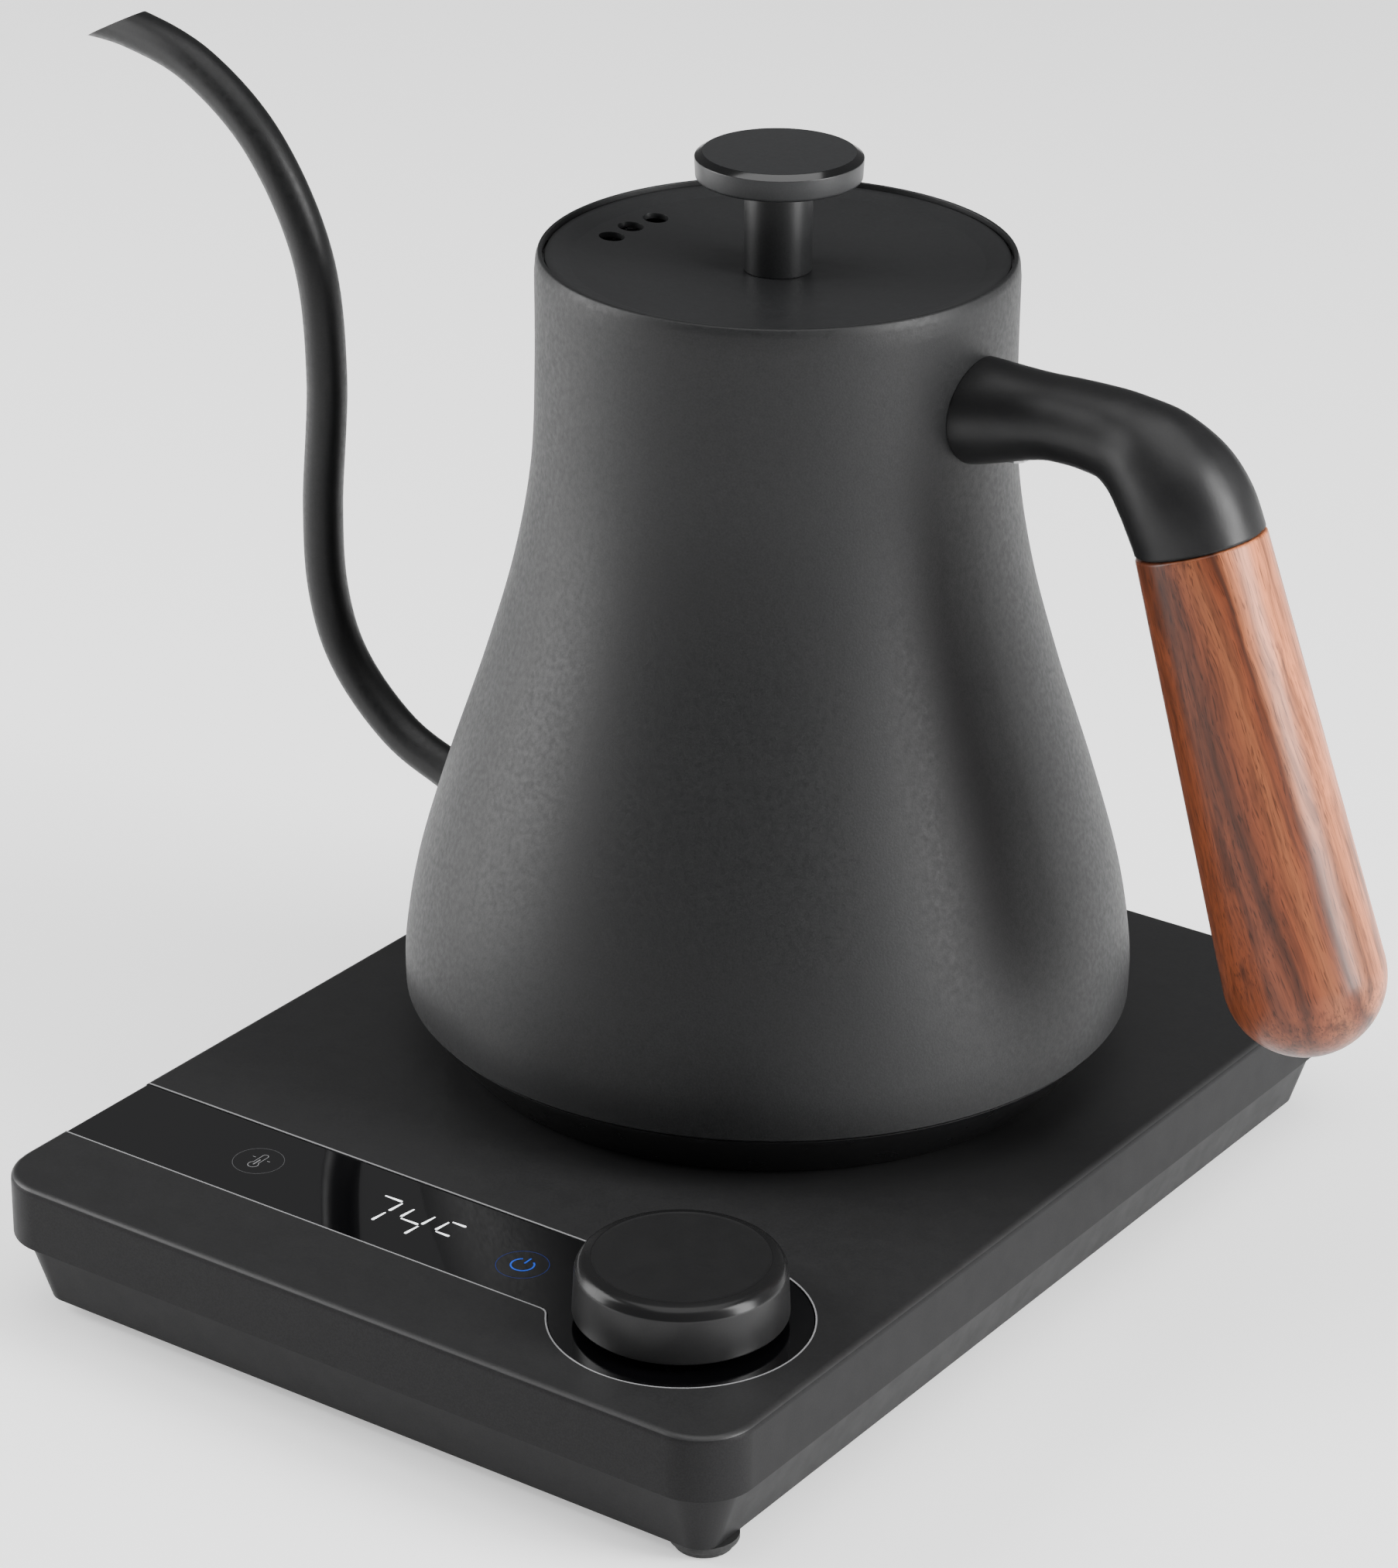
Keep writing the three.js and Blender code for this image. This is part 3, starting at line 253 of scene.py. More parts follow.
def sharp(bm, least, keep):
    """Edges where two faces meet at more than an angle, if they pass a test."""
    return [e for e in bm.edges if len(e.link_faces) == 2 and e.calc_face_angle(0) > least and keep(e)]


def middle_of(edge):
    return sum((v.co for v in edge.verts), Vector()) / 2

def slab(low, high, corner, taper=0.0, segments=12):
    """Box with rounded upright corners; its foot may be drawn in by a taper."""
    low, high = Vector(low), Vector(high)
    bm = block(low, high)
    upright = [e for e in bm.edges if abs(e.verts[0].co.z - e.verts[1].co.z) > TINY]
    bevel(bm, upright, corner, segments)
    middle = (low + high) / 2
    inner = (high - low) / 2 - Vector((corner, corner, 0))
    for v in bm.verts:
        if taper and v.co.z < middle.z:
            heart = v.co.copy()
            for axis in (0, 1):
                heart[axis] = middle[axis] + math.copysign(inner[axis], v.co[axis] - middle[axis])
            v.co = heart + (v.co - heart) * (corner - taper) / corner
    return bm


def extruded(bm, faces, height):
    """Draw faces upwards into a closed solid."""
    lifted = bmesh.ops.extrude_face_region(bm, geom=faces)["geom"]
    bmesh.ops.translate(
        bm, vec=(0, 0, height), verts=[g for g in lifted if isinstance(g, bmesh.types.BMVert)],
    )
    bmesh.ops.recalc_face_normals(bm, faces=bm.faces)
    return bm


def prism(outline, low, high):
    """Closed upright solid of a flat outline."""
    bm = bmesh.new()
    face = bm.faces.new([bm.verts.new((x, y, low)) for x, y in outline])
    return extruded(bm, [face], high - low)


def linked_object(bm, name):
    mesh = bpy.data.meshes.new(name)
    bm.to_mesh(mesh)
    bm.free()
    obj = bpy.data.objects.new(name, mesh)
    bpy.context.scene.collection.objects.link(obj)
    return obj

def carve(bm, *cutters, operation="DIFFERENCE"):
    """Cut closed shapes out of another, or join them to it."""
    target = linked_object(bm, "carved")
    tools = [linked_object(cutter, "cutter") for cutter in cutters]
    for tool in tools:
        step = target.modifiers.new("cut", "BOOLEAN")
        step.object, step.operation, step.solver = tool, operation, "EXACT"
    bpy.context.view_layer.update()
    result = bmesh.new()
    result.from_object(target, bpy.context.evaluated_depsgraph_get())
    for used in [target, *tools]:
        data = used.data
        bpy.data.objects.remove(used)
        bpy.data.meshes.remove(data)
    bmesh.ops.remove_doubles(result, verts=result.verts, dist=1e-6)
    return result


def rod(points, radii, sides=32, closed=False):
    """Round rod along points, with a radius at each, as a mesh."""
    data = bpy.data.curves.new("rod", "CURVE")
    data.dimensions = "3D"
    data.bevel_depth = 1.0
    data.bevel_resolution = sides // 4 - 1
    data.use_fill_caps = not closed
    data.twist_mode = "Z_UP" if closed else "MINIMUM"
    spline = data.splines.new("POLY")
    spline.points.add(len(points) - 1)
    for knot, place, radius in zip(spline.points, points, radii):
        knot.co = (*place, 1)
        knot.radius = radius
    spline.use_cyclic_u = closed
    obj = bpy.data.objects.new("rod", data)
    bpy.context.scene.collection.objects.link(obj)
    bpy.context.view_layer.update()
    bm = bmesh.new()
    bm.from_mesh(obj.to_mesh())
    obj.to_mesh_clear()
    bpy.data.objects.remove(obj)
    bpy.data.curves.remove(data)
    bmesh.ops.remove_doubles(bm, verts=bm.verts, dist=1e-7)
    bmesh.ops.recalc_face_normals(bm, faces=bm.faces)
    return bm


def merge(target, *others):
    """Gather several shapes into one mesh."""
    for other in others:
        mesh = bpy.data.meshes.new("part")
        other.to_mesh(mesh)
        other.free()
        target.from_mesh(mesh)
        bpy.data.meshes.remove(mesh)
    return target


def piece(bm, name, body, materials, stands_for=(), crease=30, weighted=False, choose=None):
    """Finish a shape: its shading, its materials, its body, and the nodes it stands for."""
    for edge in bm.edges:
        edge.smooth = len(edge.link_faces) == 2 and edge.calc_face_angle(0) < math.radians(crease)
    for face in bm.faces:
        face.smooth = True
        if choose:
            face.material_index = choose(face)
    obj = linked_object(bm, name)
    for material in materials:
        obj.data.materials.append(material)
    if weighted:
        even = obj.modifiers.new("even_normals", "WEIGHTED_NORMAL")
        even.keep_sharp = True
        even.weight = 90
    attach(obj, body)
    if stands_for:
        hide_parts(*stands_for)
    return obj


# ------------------------------------------------------------------ materials
class Finish:
    """One procedural material; values that are the same all over sit on the shader's own sockets."""

    def __init__(self, name, base, roughness, metallic=0.0, **sockets):
        self.material = bpy.data.materials.new(name)
        self.material.use_nodes = True
        self.nodes = self.material.node_tree.nodes
        self.links = self.material.node_tree.links
        self.shader = self.nodes["Principled BSDF"]
        self.set("Base Color", (*base, 1))
        self.set("Roughness", roughness)
        self.set("Metallic", metallic)
        for socket, value in sockets.items():
            self.set(socket.replace("_", " "), value)
        self.place = self.add("ShaderNodeTexCoord").outputs["Object"]

    def set(self, socket, value):
        self.shader.inputs[socket].default_value = value

    def add(self, kind, **values):
        node = self.nodes.new(kind)
        for key, value in values.items():
            if key in node.inputs:
                node.inputs[key].default_value = value
            else:
                setattr(node, key, value)
        return node

    def mapped(self, scale=(1, 1, 1), location=(0, 0, 0), rotation=(0, 0, 0), source=None, kind="POINT"):
        node = self.add(
            "ShaderNodeMapping", vector_type=kind, Location=location, Rotation=rotation, Scale=scale,
        )
        self.links.new(source or self.place, node.inputs["Vector"])
        return node.outputs["Vector"]

    def noise(self, scale, detail=2.0, roughness=0.5, source=None):
        node = self.add("ShaderNodeTexNoise", Scale=scale, Detail=detail, Roughness=roughness)
        self.links.new(source or self.place, node.inputs["Vector"])
        return node.outputs["Fac"]

    def spread(self, value, low, high, start=0.3, end=0.7):
        node = self.add("ShaderNodeMapRange")
        for name, number in (("From Min", start), ("From Max", end), ("To Min", low), ("To Max", high)):
            node.inputs[name].default_value = number
        self.links.new(value, node.inputs["Value"])
        return node.outputs["Result"]

    def ramp(self, value, *stops):
        node = self.add("ShaderNodeValToRGB")
        while len(node.color_ramp.elements) < len(stops):
            node.color_ramp.elements.new(0.5)
        for element, (position, tint) in zip(node.color_ramp.elements, stops):
            element.position = position
            element.color = (*tint, 1)
        self.links.new(value, node.inputs["Fac"])
        return node.outputs["Color"]

    def mix(self, factor, first, second):
        node = self.add("ShaderNodeMix", data_type="RGBA")
        self.links.new(factor, node.inputs["Factor"])
        self.links.new(first, node.inputs[6])
        node.inputs[7].default_value = (*second, 1)
        return node.outputs[2]

    def wire(self, socket, output):
        self.links.new(output, self.shader.inputs[socket])

    def bump(self, height, strength, distance):
        node = self.add("ShaderNodeBump", Strength=strength, Distance=distance)
        self.links.new(height, node.inputs["Height"])
        last = self.shader.inputs["Normal"]
        if last.is_linked:
            self.links.new(last.links[0].from_socket, node.inputs["Normal"])
        self.links.new(node.outputs["Normal"], last)


def shade(base, factor):
    return tuple(channel * factor for channel in base)


def powder_coat(name, base, roughness=0.5):
    """Matte charcoal coat with a fine pebbled grain."""
    finish = Finish(name, base, roughness, Specular_IOR_Level=0.25)
    grain = finish.noise(2600, 2, 0.6)
    dark, light = shade(base, 0.72), shade(base, 1.32)
    finish.wire("Base Color", finish.ramp(grain, (0.3, dark), (0.7, light)))
    finish.wire("Roughness", finish.spread(finish.noise(900, 2), roughness - 0.06, roughness + 0.06))
    finish.bump(grain, 0.35, 0.06 * MM)
    finish.bump(finish.noise(26, 2), 0.05, 0.4 * MM)
    return finish.material


def moulded(name, base, roughness=0.38, grain=3200, depth=0.02, gloss=0.28):
    """Satin moulded plastic with a faint spark-eroded grain."""
    finish = Finish(name, base, roughness, Specular_IOR_Level=gloss)
    fine = finish.noise(grain, 1)
    dark, light = shade(base, 0.86), shade(base, 1.14)
    finish.wire("Base Color", finish.ramp(fine, (0.3, dark), (0.7, light)))
    finish.wire("Roughness", finish.spread(finish.noise(220, 3), roughness - 0.035, roughness + 0.035))
    finish.bump(fine, 0.2, depth * MM)
    return finish.material


def polished(name, base, roughness=0.05, **sockets):
    """Glossy panel with a breath of unevenness."""
    finish = Finish(name, base, roughness, **sockets)
    finish.wire("Roughness", finish.spread(finish.noise(60, 2), roughness * 0.8, roughness * 1.4))
    return finish.material


def walnut(name, colours, joint, tilt):
    """Lacquered reddish walnut: leaning growth layers, long streaks and open pores along the grip. Its bands
    also hold painted light: lighter towards the camera's right, brightest where the key light's highlight
    falls.
    """
    dark, mid, light = colours.wood_dark, colours.wood_mid, colours.wood_light_and_highlight
    finish = Finish(name, mid, 0.34, Specular_IOR_Level=0.26, Coat_Weight=0.05, Coat_Roughness=0.15)
    along = finish.mapped(location=joint, rotation=(0, -tilt, 0), kind="TEXTURE")
    drift = finish.add("ShaderNodeTexNoise", Scale=1.0, Detail=3.0)
    finish.links.new(finish.mapped(scale=(90, 90, 22), source=along), drift.inputs["Vector"])
    wander = finish.add("ShaderNodeVectorMath", operation="MULTIPLY_ADD")
    finish.links.new(drift.outputs["Color"], wander.inputs[0])
    wander.inputs[1].default_value = (0.006, 0.006, 0.0)
    finish.links.new(along, wander.inputs[2])
    # The bands are laid across the grip as the camera sees it, turned by the camera's azimuth, so their
    # lighter side sits where the key light falls: painted light.
    facing = finish.mapped(
        location=(-0.004, 0, 0), rotation=(0, 0, math.radians(-35)), source=wander.outputs["Vector"],
    )
    lean = finish.mapped(rotation=(0, 0.09, 0), source=facing)
    across = finish.add("ShaderNodeSeparateXYZ")
    finish.links.new(lean, across.inputs[0])
    band_across_view = finish.spread(across.outputs["X"], 0.0, 1.0, -0.016, 0.016)
    # Band tones: the darker middle bands are grain; the light wood from 0.58 on, brightest at 0.72, is
    # painted highlight on the grip's lit side mixed with real lighter wood.
    grain_and_lit_bands = (
        (0.0, mid, 1), (0.12, mid, 1), (0.19, mid, 0.5), (0.28, mid, 1), (0.40, light, 0.5),
        (0.48, mid, 0.9), (0.53, mid, 0.4), (0.58, light, 0.8), (0.72, light, 1.35), (1.0, light, 1.15),
    )
    tone = finish.ramp(band_across_view, *[(place, shade(base, factor)) for place, base, factor in grain_and_lit_bands])

    def grain(scale, detail, roughness, stretch):
        return finish.noise(scale, detail, roughness, finish.mapped(scale=(1, 1, stretch), source=lean))

    streak, fibre, pore = grain(330, 3, 0.6, 0.04), grain(1500, 2, 0.6, 0.03), grain(3600, 1, 0.5, 0.06)
    tone = finish.mix(finish.spread(streak, 0.0, 0.75, 0.48, 0.68), tone, shade(dark, 1.8))
    tone = finish.mix(finish.spread(fibre, 0.0, 0.5, 0.42, 0.72), tone, dark)
    tone = finish.mix(finish.spread(pore, 0.0, 0.6, 0.58, 0.70), tone, shade(dark, 0.5))
    finish.wire("Base Color", tone)
    finish.wire("Roughness", finish.spread(fibre, 0.3, 0.42))
    finish.bump(pore, 0.12, 0.03 * MM)
    finish.bump(streak, 0.08, 0.05 * MM)
    return finish.material


def turned_steel(name, base=(0.56, 0.56, 0.57), roughness=0.32):
    """Stainless steel with faint drawing lines."""
    finish = Finish(name, base, roughness, 1.0)
    lines = finish.noise(420, 2, source=finish.mapped(scale=(1, 1, 8)))
    finish.wire("Roughness", finish.spread(lines, roughness - 0.07, roughness + 0.09))
    finish.bump(lines, 0.06, 0.01 * MM)
    return finish.material


def lit(name, base, strength):
    """Printed or lit mark in the panel."""
    finish = Finish(name, base, 0.4)
    finish.set("Emission Color", (*base, 1))
    finish.set("Emission Strength", strength)
    finish.wire("Roughness", finish.spread(finish.noise(400, 1), 0.35, 0.45))
    return finish.material


def matte_rubber(name, base=(0.010, 0.010, 0.010)):
    finish = Finish(name, base, 0.75)
    grain = finish.noise(1500, 2)
    finish.wire("Roughness", finish.spread(grain, 0.68, 0.84))
    finish.bump(grain, 0.15, 0.03 * MM)
    return finish.material


# ------------------------------------------------------------------ shapes shared by several pieces
# swell from the neck's radius to the belly's, and share of the height
BELL = (
    (1.000, 0.000), (0.996, 0.064), (0.894, 0.169), (0.673, 0.300), (0.384, 0.451),
    (0.160, 0.589), (0.030, 0.721), (0.000, 0.852), (0.000, 0.968),
)
SOCKET_RADIUS = 17 * MM
SPOUT_REACH, SPOUT_RISE = 100 * MM, 149.6 * MM
# shares of the spout's reach and rise
SPOUT_RUN = (
    (-0.080, -0.020), (0.0675, 0.019), (0.220, 0.062), (0.348, 0.145), (0.405, 0.242), (0.415, 0.370),
    (0.397, 0.562), (0.427, 0.729), (0.545, 0.871), (0.712, 0.959), (0.885, 0.994), (1.030, 1.000),
)
# share of the arm's reach, height over its root and radius, both in millimetres
ARM_RUN = (
    (0.00, 0.0, 10.2), (0.27, 1.7, 8.3), (0.41, 2.1, 8.1), (0.53, 1.95, 8.3), (0.648, 1.2, 8.85),
    (0.771, -1.2, 10.5), (0.876, -5.1, 11.8), (0.948, -9.5, 12.3),
)


def bell_profile(sizes, grow=0.0, steps=7):
    """Outer line of the body from the seam to just under the rim."""
    height, swell = RIM - SEAM, sizes.belly - sizes.neck
    knots = [(sizes.neck + swell * wide + grow, SEAM + height * high) for wide, high in BELL]
    return through(knots, steps)


def bell_radius(sizes, z):
    profile = bell_profile(sizes)
    for low, high in zip(profile, profile[1:]):
        if low.y <= z <= high.y:
            return low.x + (high.x - low.x) * (z - low.y) / (high.y - low.y)
    raise ValueError("no body at that height")


def bell_block(sizes, grow):
    """Closed solid of the body, used to trim what meets it."""
    profile = bell_profile(sizes, grow)
    return turned([(0, SEAM - MM), (profile[0].x, SEAM - MM), *profile, (profile[-1].x, RIM), (0, RIM)])


def strip_outline(sizes, grow, left):
    """Outline of the control strip: a band that runs into a round end about the knob."""
    half = sizes.strip_width / 2 + grow
    ring = sizes.ring + grow
    fillet = sizes.inner_fillet - grow
    rise = half + fillet
    run = math.sqrt((ring + fillet) ** 2 - rise**2)
    touch = math.atan2(rise, run)
    x, y = KNOB_AXIS.x, KNOB_AXIS.y

    def arc(cx, cy, radius, start, end, count):
        turns = (start + (end - start) * i / count for i in range(count + 1))
        return [(cx + radius * math.cos(a), cy + radius * math.sin(a)) for a in turns]

    return [
        (left, y - half),
        *arc(x - run, y - rise, fillet, math.pi / 2, touch, 8),
        *arc(x, y, ring, math.pi + touch, 3 * math.pi - touch, 96)[1:-1],
        *arc(x - run, y + rise, fillet, -touch, -math.pi / 2, 8),
        (left, y + half),
    ]


def grip_place(sizes, neck):
    """Where the arm and the grip start, and the matrix that lays an upright shape along the grip."""
    root = Vector((AXIS.x + neck, AXIS.y, RIM - sizes.drop))
    joint = root + Vector((sizes.reach, 0, -sizes.joint_drop))
    return root, joint, Matrix.Translation(joint) @ Matrix.Rotation(math.pi - sizes.tilt, 4, "Y")


def steam_drills(sizes, share, low, high, sides):
    """Upright cutters for the steam holes, at a share of their distance from the lid's middle."""
    reach = share * sizes.steam_place
    return [
        disc(sizes.steam_hole, low, high, AXIS.x + reach * math.cos(a), AXIS.y + reach * math.sin(a), sides)
        for a in STEAM_ANGLES
    ]


def spot_of(node):
    """Middle and half width of a node."""
    low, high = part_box(node)
    return (low + high) / 2, (high.x - low.x) / 2

# ------------------------------------------------------------------ operators
class KETTLE_OT_power_base(bpy.types.Operator):
    """Build the power base: covers, feet and cord outlet"""

    bl_idname = "kettle.power_base"
    bl_label = "Power Base"

    def execute(self, context):
        scene = context.scene
        sizes, controls, shell = scene.kettle_base, scene.kettle_controls, scene.kettle_tints.shell
        top = moulded("base_top_satin", shell, 0.42)
        # The walls and the lower cover take a copy of the top's plastic, lighter in colour and with far less
        # gloss: painted shade for how the light falls on them, the covers being one plastic.
        side = moulded("base_side_painted_shade", shade(shell, 1.15), 0.42, gloss=0.05)
        low, high = COVER_LOW.copy(), COVER_HIGH.copy()
        low.z = sizes.parting
        body = slab(low, high, sizes.corner)
        bevel(body, level(body, high.z), sizes.fillet, 5)
        bevel(body, level(body, low.z), 0.3 * MM, 2)
        inset = Vector((sizes.wall, sizes.wall, 0))
        hollow = slab(low + inset - UP * MM, high - inset - UP * 3 * MM, sizes.corner - sizes.wall)
        pocket = prism(strip_outline(controls, 0.12 * MM, low.x - MM), WINDOW_LOW.z - FIT, high.z + MM)
        opening = disc(SOCKET_RADIUS + FIT, high.z - 5 * MM, high.z + MM, AXIS.x, AXIS.y, 96)
        body = carve(body, hollow, pocket, opening)
        lips = sharp(body, 1.2, lambda e: min(v.co.z for v in e.verts) > high.z - 10 * TINY)
        bevel(body, lips, 0.5 * MM, 3)
        # Painted highlight: pale grey on the bevelled lips of the strip's pocket stands in for the glint
        # along its edge.
        line = polished("strip_edge_painted_highlight", (0.2, 0.2, 0.205), 0.3)

        # Picks each face's material: pocket lips near the strip take the painted highlight, walls the
        # painted-shade copy, the rest the top's plastic.
        def edge_highlight_and_side_shade(face):
            centre = face.calc_center_median()
            near = abs(centre.y - KNOB_AXIS.y) < controls.ring + MM
            inland = low.x + 0.5 * MM < centre.x < high.x - 2 * MM
            if near and inland and centre.z > high.z - 0.51 * MM and 0.15 < face.normal.z < 0.985:
                return 1
            return 2 if face.normal.z < 0.5 else 0

        piece(
            body, "base_top_shell", "power_base", [top, line, side], ["base_top_cover"],
            weighted=True, choose=edge_highlight_and_side_shade,
        )
        # Thin pale band around the strip: more painted highlight along the pocket's edge.
        trim = prism(strip_outline(controls, 0.44 * MM, low.x + MM), high.z - 0.3 * MM, high.z + 0.02 * MM)
        gap = prism(strip_outline(controls, 0.14 * MM, low.x - MM), high.z - MM, high.z + MM)
        piece(carve(trim, gap), "strip_painted_highlight_band", "power_base", [line])

        low, high = COVER_LOW.copy(), COVER_HIGH.copy()
        step = Vector((sizes.set_back, sizes.set_back, 0))
        low.z, high.z = TRAY_LOW.z, sizes.parting - FIT
        tray = slab(low + step, high - step, sizes.corner - sizes.set_back, sizes.taper)
        bevel(tray, level(tray, low.z), 0.4 * MM, 3)
        flange = Vector((sizes.wall + FIT, sizes.wall + FIT, 0))
        top_edge = high - flange + UP * 2 * MM
        neck = slab(low + flange + UP * (high.z - low.z), top_edge, sizes.corner - sizes.wall)
        inner = slab(
            low + step + inset + UP * sizes.wall, high - step - inset + UP * 5 * MM,
            sizes.corner - sizes.set_back - sizes.wall,
        )
        for v in inner.verts:
            if v.co.z < high.z:
                v.co.x += math.copysign(sizes.taper, AXIS.x - v.co.x)
                v.co.y += math.copysign(sizes.taper, (low.y + high.y) / 2 - v.co.y)
        spots = [spot_of("base_screw_" + corner)[0] for corner in CORNERS]
        holes = [disc(3.5 * MM, low.z - MM, low.z + 1.2 * MM, spot.x, spot.y, 32) for spot in spots]
        gland = (GLAND_LOW + GLAND_HIGH) / 2
        rearward = Matrix.Rotation(-math.pi / 2, 4, "X")
        outlet = disc(4.9 * MM, -10 * MM, 10 * MM, 0, 0, 32)
        outlet.transform(Matrix.Translation((gland.x, GLAND_LOW.y, gland.z)) @ rearward)
        tray = carve(carve(tray, neck, operation="UNION"), inner, *holes, outlet)
        # The lower cover wears the painted-shade copy of the plastic.
        piece(
            tray, "base_lower_shell", "power_base", [side], ["base_bottom_cover"],
            weighted=True,
        )

        rubber = matte_rubber("foot_rubber")
        joint = TRAY_LOW.z - 0.05 * MM
        for corner in CORNERS:
            spot, wide = spot_of("foot_" + corner)
            foot = turned(rounded([
                (0, 0), (0.84 * wide, 0, 0.5), (0.88 * wide, 1.3 * MM, 0.2), (wide, 1.5 * MM, 0.3),
                (wide, joint), (0, joint),
            ], 4), spot, 48)
            piece(foot, "rubber_foot_" + corner, "power_base", [rubber], ["foot_" + corner])

        inner, outer, collar = 3.6 * MM, 4.6 * MM, 5.7 * MM
        outlet = turned(rounded([
            (inner, -10 * MM), (outer, -10 * MM), (outer, -2.4 * MM, 0.2), (collar, -2.4 * MM, 0.3),
            (collar, -1.2 * MM, 0.4), (outer, 0, 0.5), (inner, 0, 0.3),
        ], 3), ORIGIN, 48, closed=True)
        outlet.transform(Matrix.Translation((gland.x, GLAND_HIGH.y, gland.z)) @ rearward)
        piece(outlet, "cord_outlet", "power_base", [rubber], ["cord_gland"])
        return {"FINISHED"}


class KETTLE_OT_control_strip(bpy.types.Operator):
    """Build the glossy touch strip with its readout and touch icons"""

    bl_idname = "kettle.control_strip"
    bl_label = "Control Strip"

    def bar(self, bm, start, end, width):
        """Segment of the readout: a flat bar with pointed ends."""
        start, end = Vector(start), Vector(end)
        made = bmesh.ops.create_circle(bm, cap_ends=True, segments=6, radius=width / 2)["verts"]
        stretch = (end - start).length / 2 - width / 2
        for v in made:
            v.co.x += math.copysign(stretch, v.co.x)
        turn = Matrix.Rotation(math.atan2(end.y - start.y, end.x - start.x), 3, "Z")
        bmesh.ops.rotate(bm, verts=made, cent=(0, 0, 0), matrix=turn)
        bmesh.ops.translate(bm, verts=made, vec=(start + end) / 2)

    def digit(self, bm, x, y, segments, width, height, lean):
        """Seven-segment figure with its middle at a point."""
        half, tall = width / 2, height / 2
        corners = {
            row + side: Vector((x + cx + cy * lean, y + cy, STRIP_TOP + 0.02 * MM))
            for row, cy in (("top", tall), ("mid", 0), ("low", -tall))
            for side, cx in (("_left", -half), ("_right", half))
        }
        ends = {
            "a": ("top_left", "top_right"), "b": ("top_right", "mid_right"), "c": ("mid_right", "low_right"),
            "d": ("low_left", "low_right"), "e": ("mid_left", "low_left"), "f": ("top_left", "mid_left"),
            "g": ("mid_left", "mid_right"),
        }
        for key in segments:
            first, last = (corners[end] for end in ends[key])
            trim = (last - first).normalized() * 0.42 * MM
            self.bar(bm, first + trim, last - trim, 0.64 * MM)

    def stroke(self, points, width, closed=False):
        """Thin printed line lying on the strip."""
        bm = rod([(x, y, 0) for x, y in points], [width / 2] * len(points), 8, closed=closed)
        bmesh.ops.scale(bm, verts=bm.verts, vec=(1, 1, 0.12))
        bmesh.ops.translate(bm, verts=bm.verts, vec=(0, 0, STRIP_TOP + 0.005 * MM))
        return bm

    def arc(self, x, y, radius, start, end, count=48):
        turns = [math.radians(start + (end - start) * i / count) for i in range(count + 1)]
        return [(x + radius * math.cos(a), y + radius * math.sin(a)) for a in turns]

    def execute(self, context):
        sizes, tints = context.scene.kettle_controls, context.scene.kettle_tints
        gloss = polished(
            "strip_gloss", tints.gloss, 0.045, Specular_IOR_Level=0.75, Coat_Weight=0.5, Coat_Roughness=0.02,
        )
        left = WINDOW_LOW.x
        window = prism(strip_outline(sizes, -0.1 * MM, left), WINDOW_LOW.z, STRIP_TOP)
        outer = [e for e in level(window, STRIP_TOP) if max(v.co.x for v in e.verts) < left + TINY]
        bevel(window, outer, 1.0 * MM, 5)
        edge = sharp(window, 1, lambda e: min(v.co.z for v in e.verts) > STRIP_TOP - TINY)
        bevel(window, edge, 0.3 * MM, 3)
        piece(window, "touch_strip", "power_base", [gloss], ["display_window"], weighted=True)

        y, tall, wide = KNOB_AXIS.y, sizes.digit_height, sizes.digit_width
        readout = bmesh.new()
        figures = (("abc", -16.7, -0.4, 1), ("fgbc", -8.5, -0.9, 1), ("afg", -0.6, -1.0, 0.82))
        for segments, across, up, share in figures:
            self.digit(readout, AXIS.x + across * MM, y + up * MM, segments, wide * share, tall, 0.1)
        extruded(readout, list(readout.faces), -0.015 * MM)
        white = lit("readout_white", tints.print_white, 1.1)
        piece(readout, "readout_digits", "power_base", [white])

        def icon(name, material, *strokes):
            piece(merge(bmesh.new(), *strokes), name, "power_base", [material])

        x, iy = AXIS.x - 46.4 * MM, y + 0.6 * MM
        ring = self.stroke(self.arc(x, iy, sizes.icon_ring, 0, 360)[:-1], 0.12 * MM, True)
        icon("temperature_ring", lit("ring_grey", (0.05, 0.05, 0.052), 0.1), ring)
        bulb = self.arc(x, iy - 1.6 * MM, 1.05 * MM, 125, 415, 24)
        tube = self.arc(x, iy + 2.1 * MM, 0.62 * MM, 0, 180, 10)
        marks = [[(x + side * far * MM, iy + 0.9 * MM) for far in (1.4, 2.1)] for side in (-1, 1)]
        icon(
            "temperature_icon", lit("icon_grey", (0.16, 0.16, 0.165), 0.25),
            self.stroke([*bulb, *tube], 0.14 * MM, True),
            self.stroke([(x, iy - 1.6 * MM), (x, iy + 0.6 * MM)], 0.24 * MM),
            *[self.stroke(mark, 0.14 * MM) for mark in marks],
        )

        x, iy = AXIS.x + 18.4 * MM, y - 1.4 * MM
        icon(
            "power_icon", lit("icon_blue", tints.print_blue, 0.35),
            self.stroke(self.arc(x, iy, 2.2 * MM, 125, 415, 32), 0.34 * MM),
            self.stroke([(x, iy + 0.6 * MM), (x, iy + 2.7 * MM)], 0.34 * MM),
        )
        ring = self.stroke(self.arc(x, iy, sizes.icon_ring, 0, 360)[:-1], 0.1 * MM, True)
        icon("power_ring", lit("ring_blue", shade(tints.print_blue, 0.3), 0.2), ring)
        return {"FINISHED"}


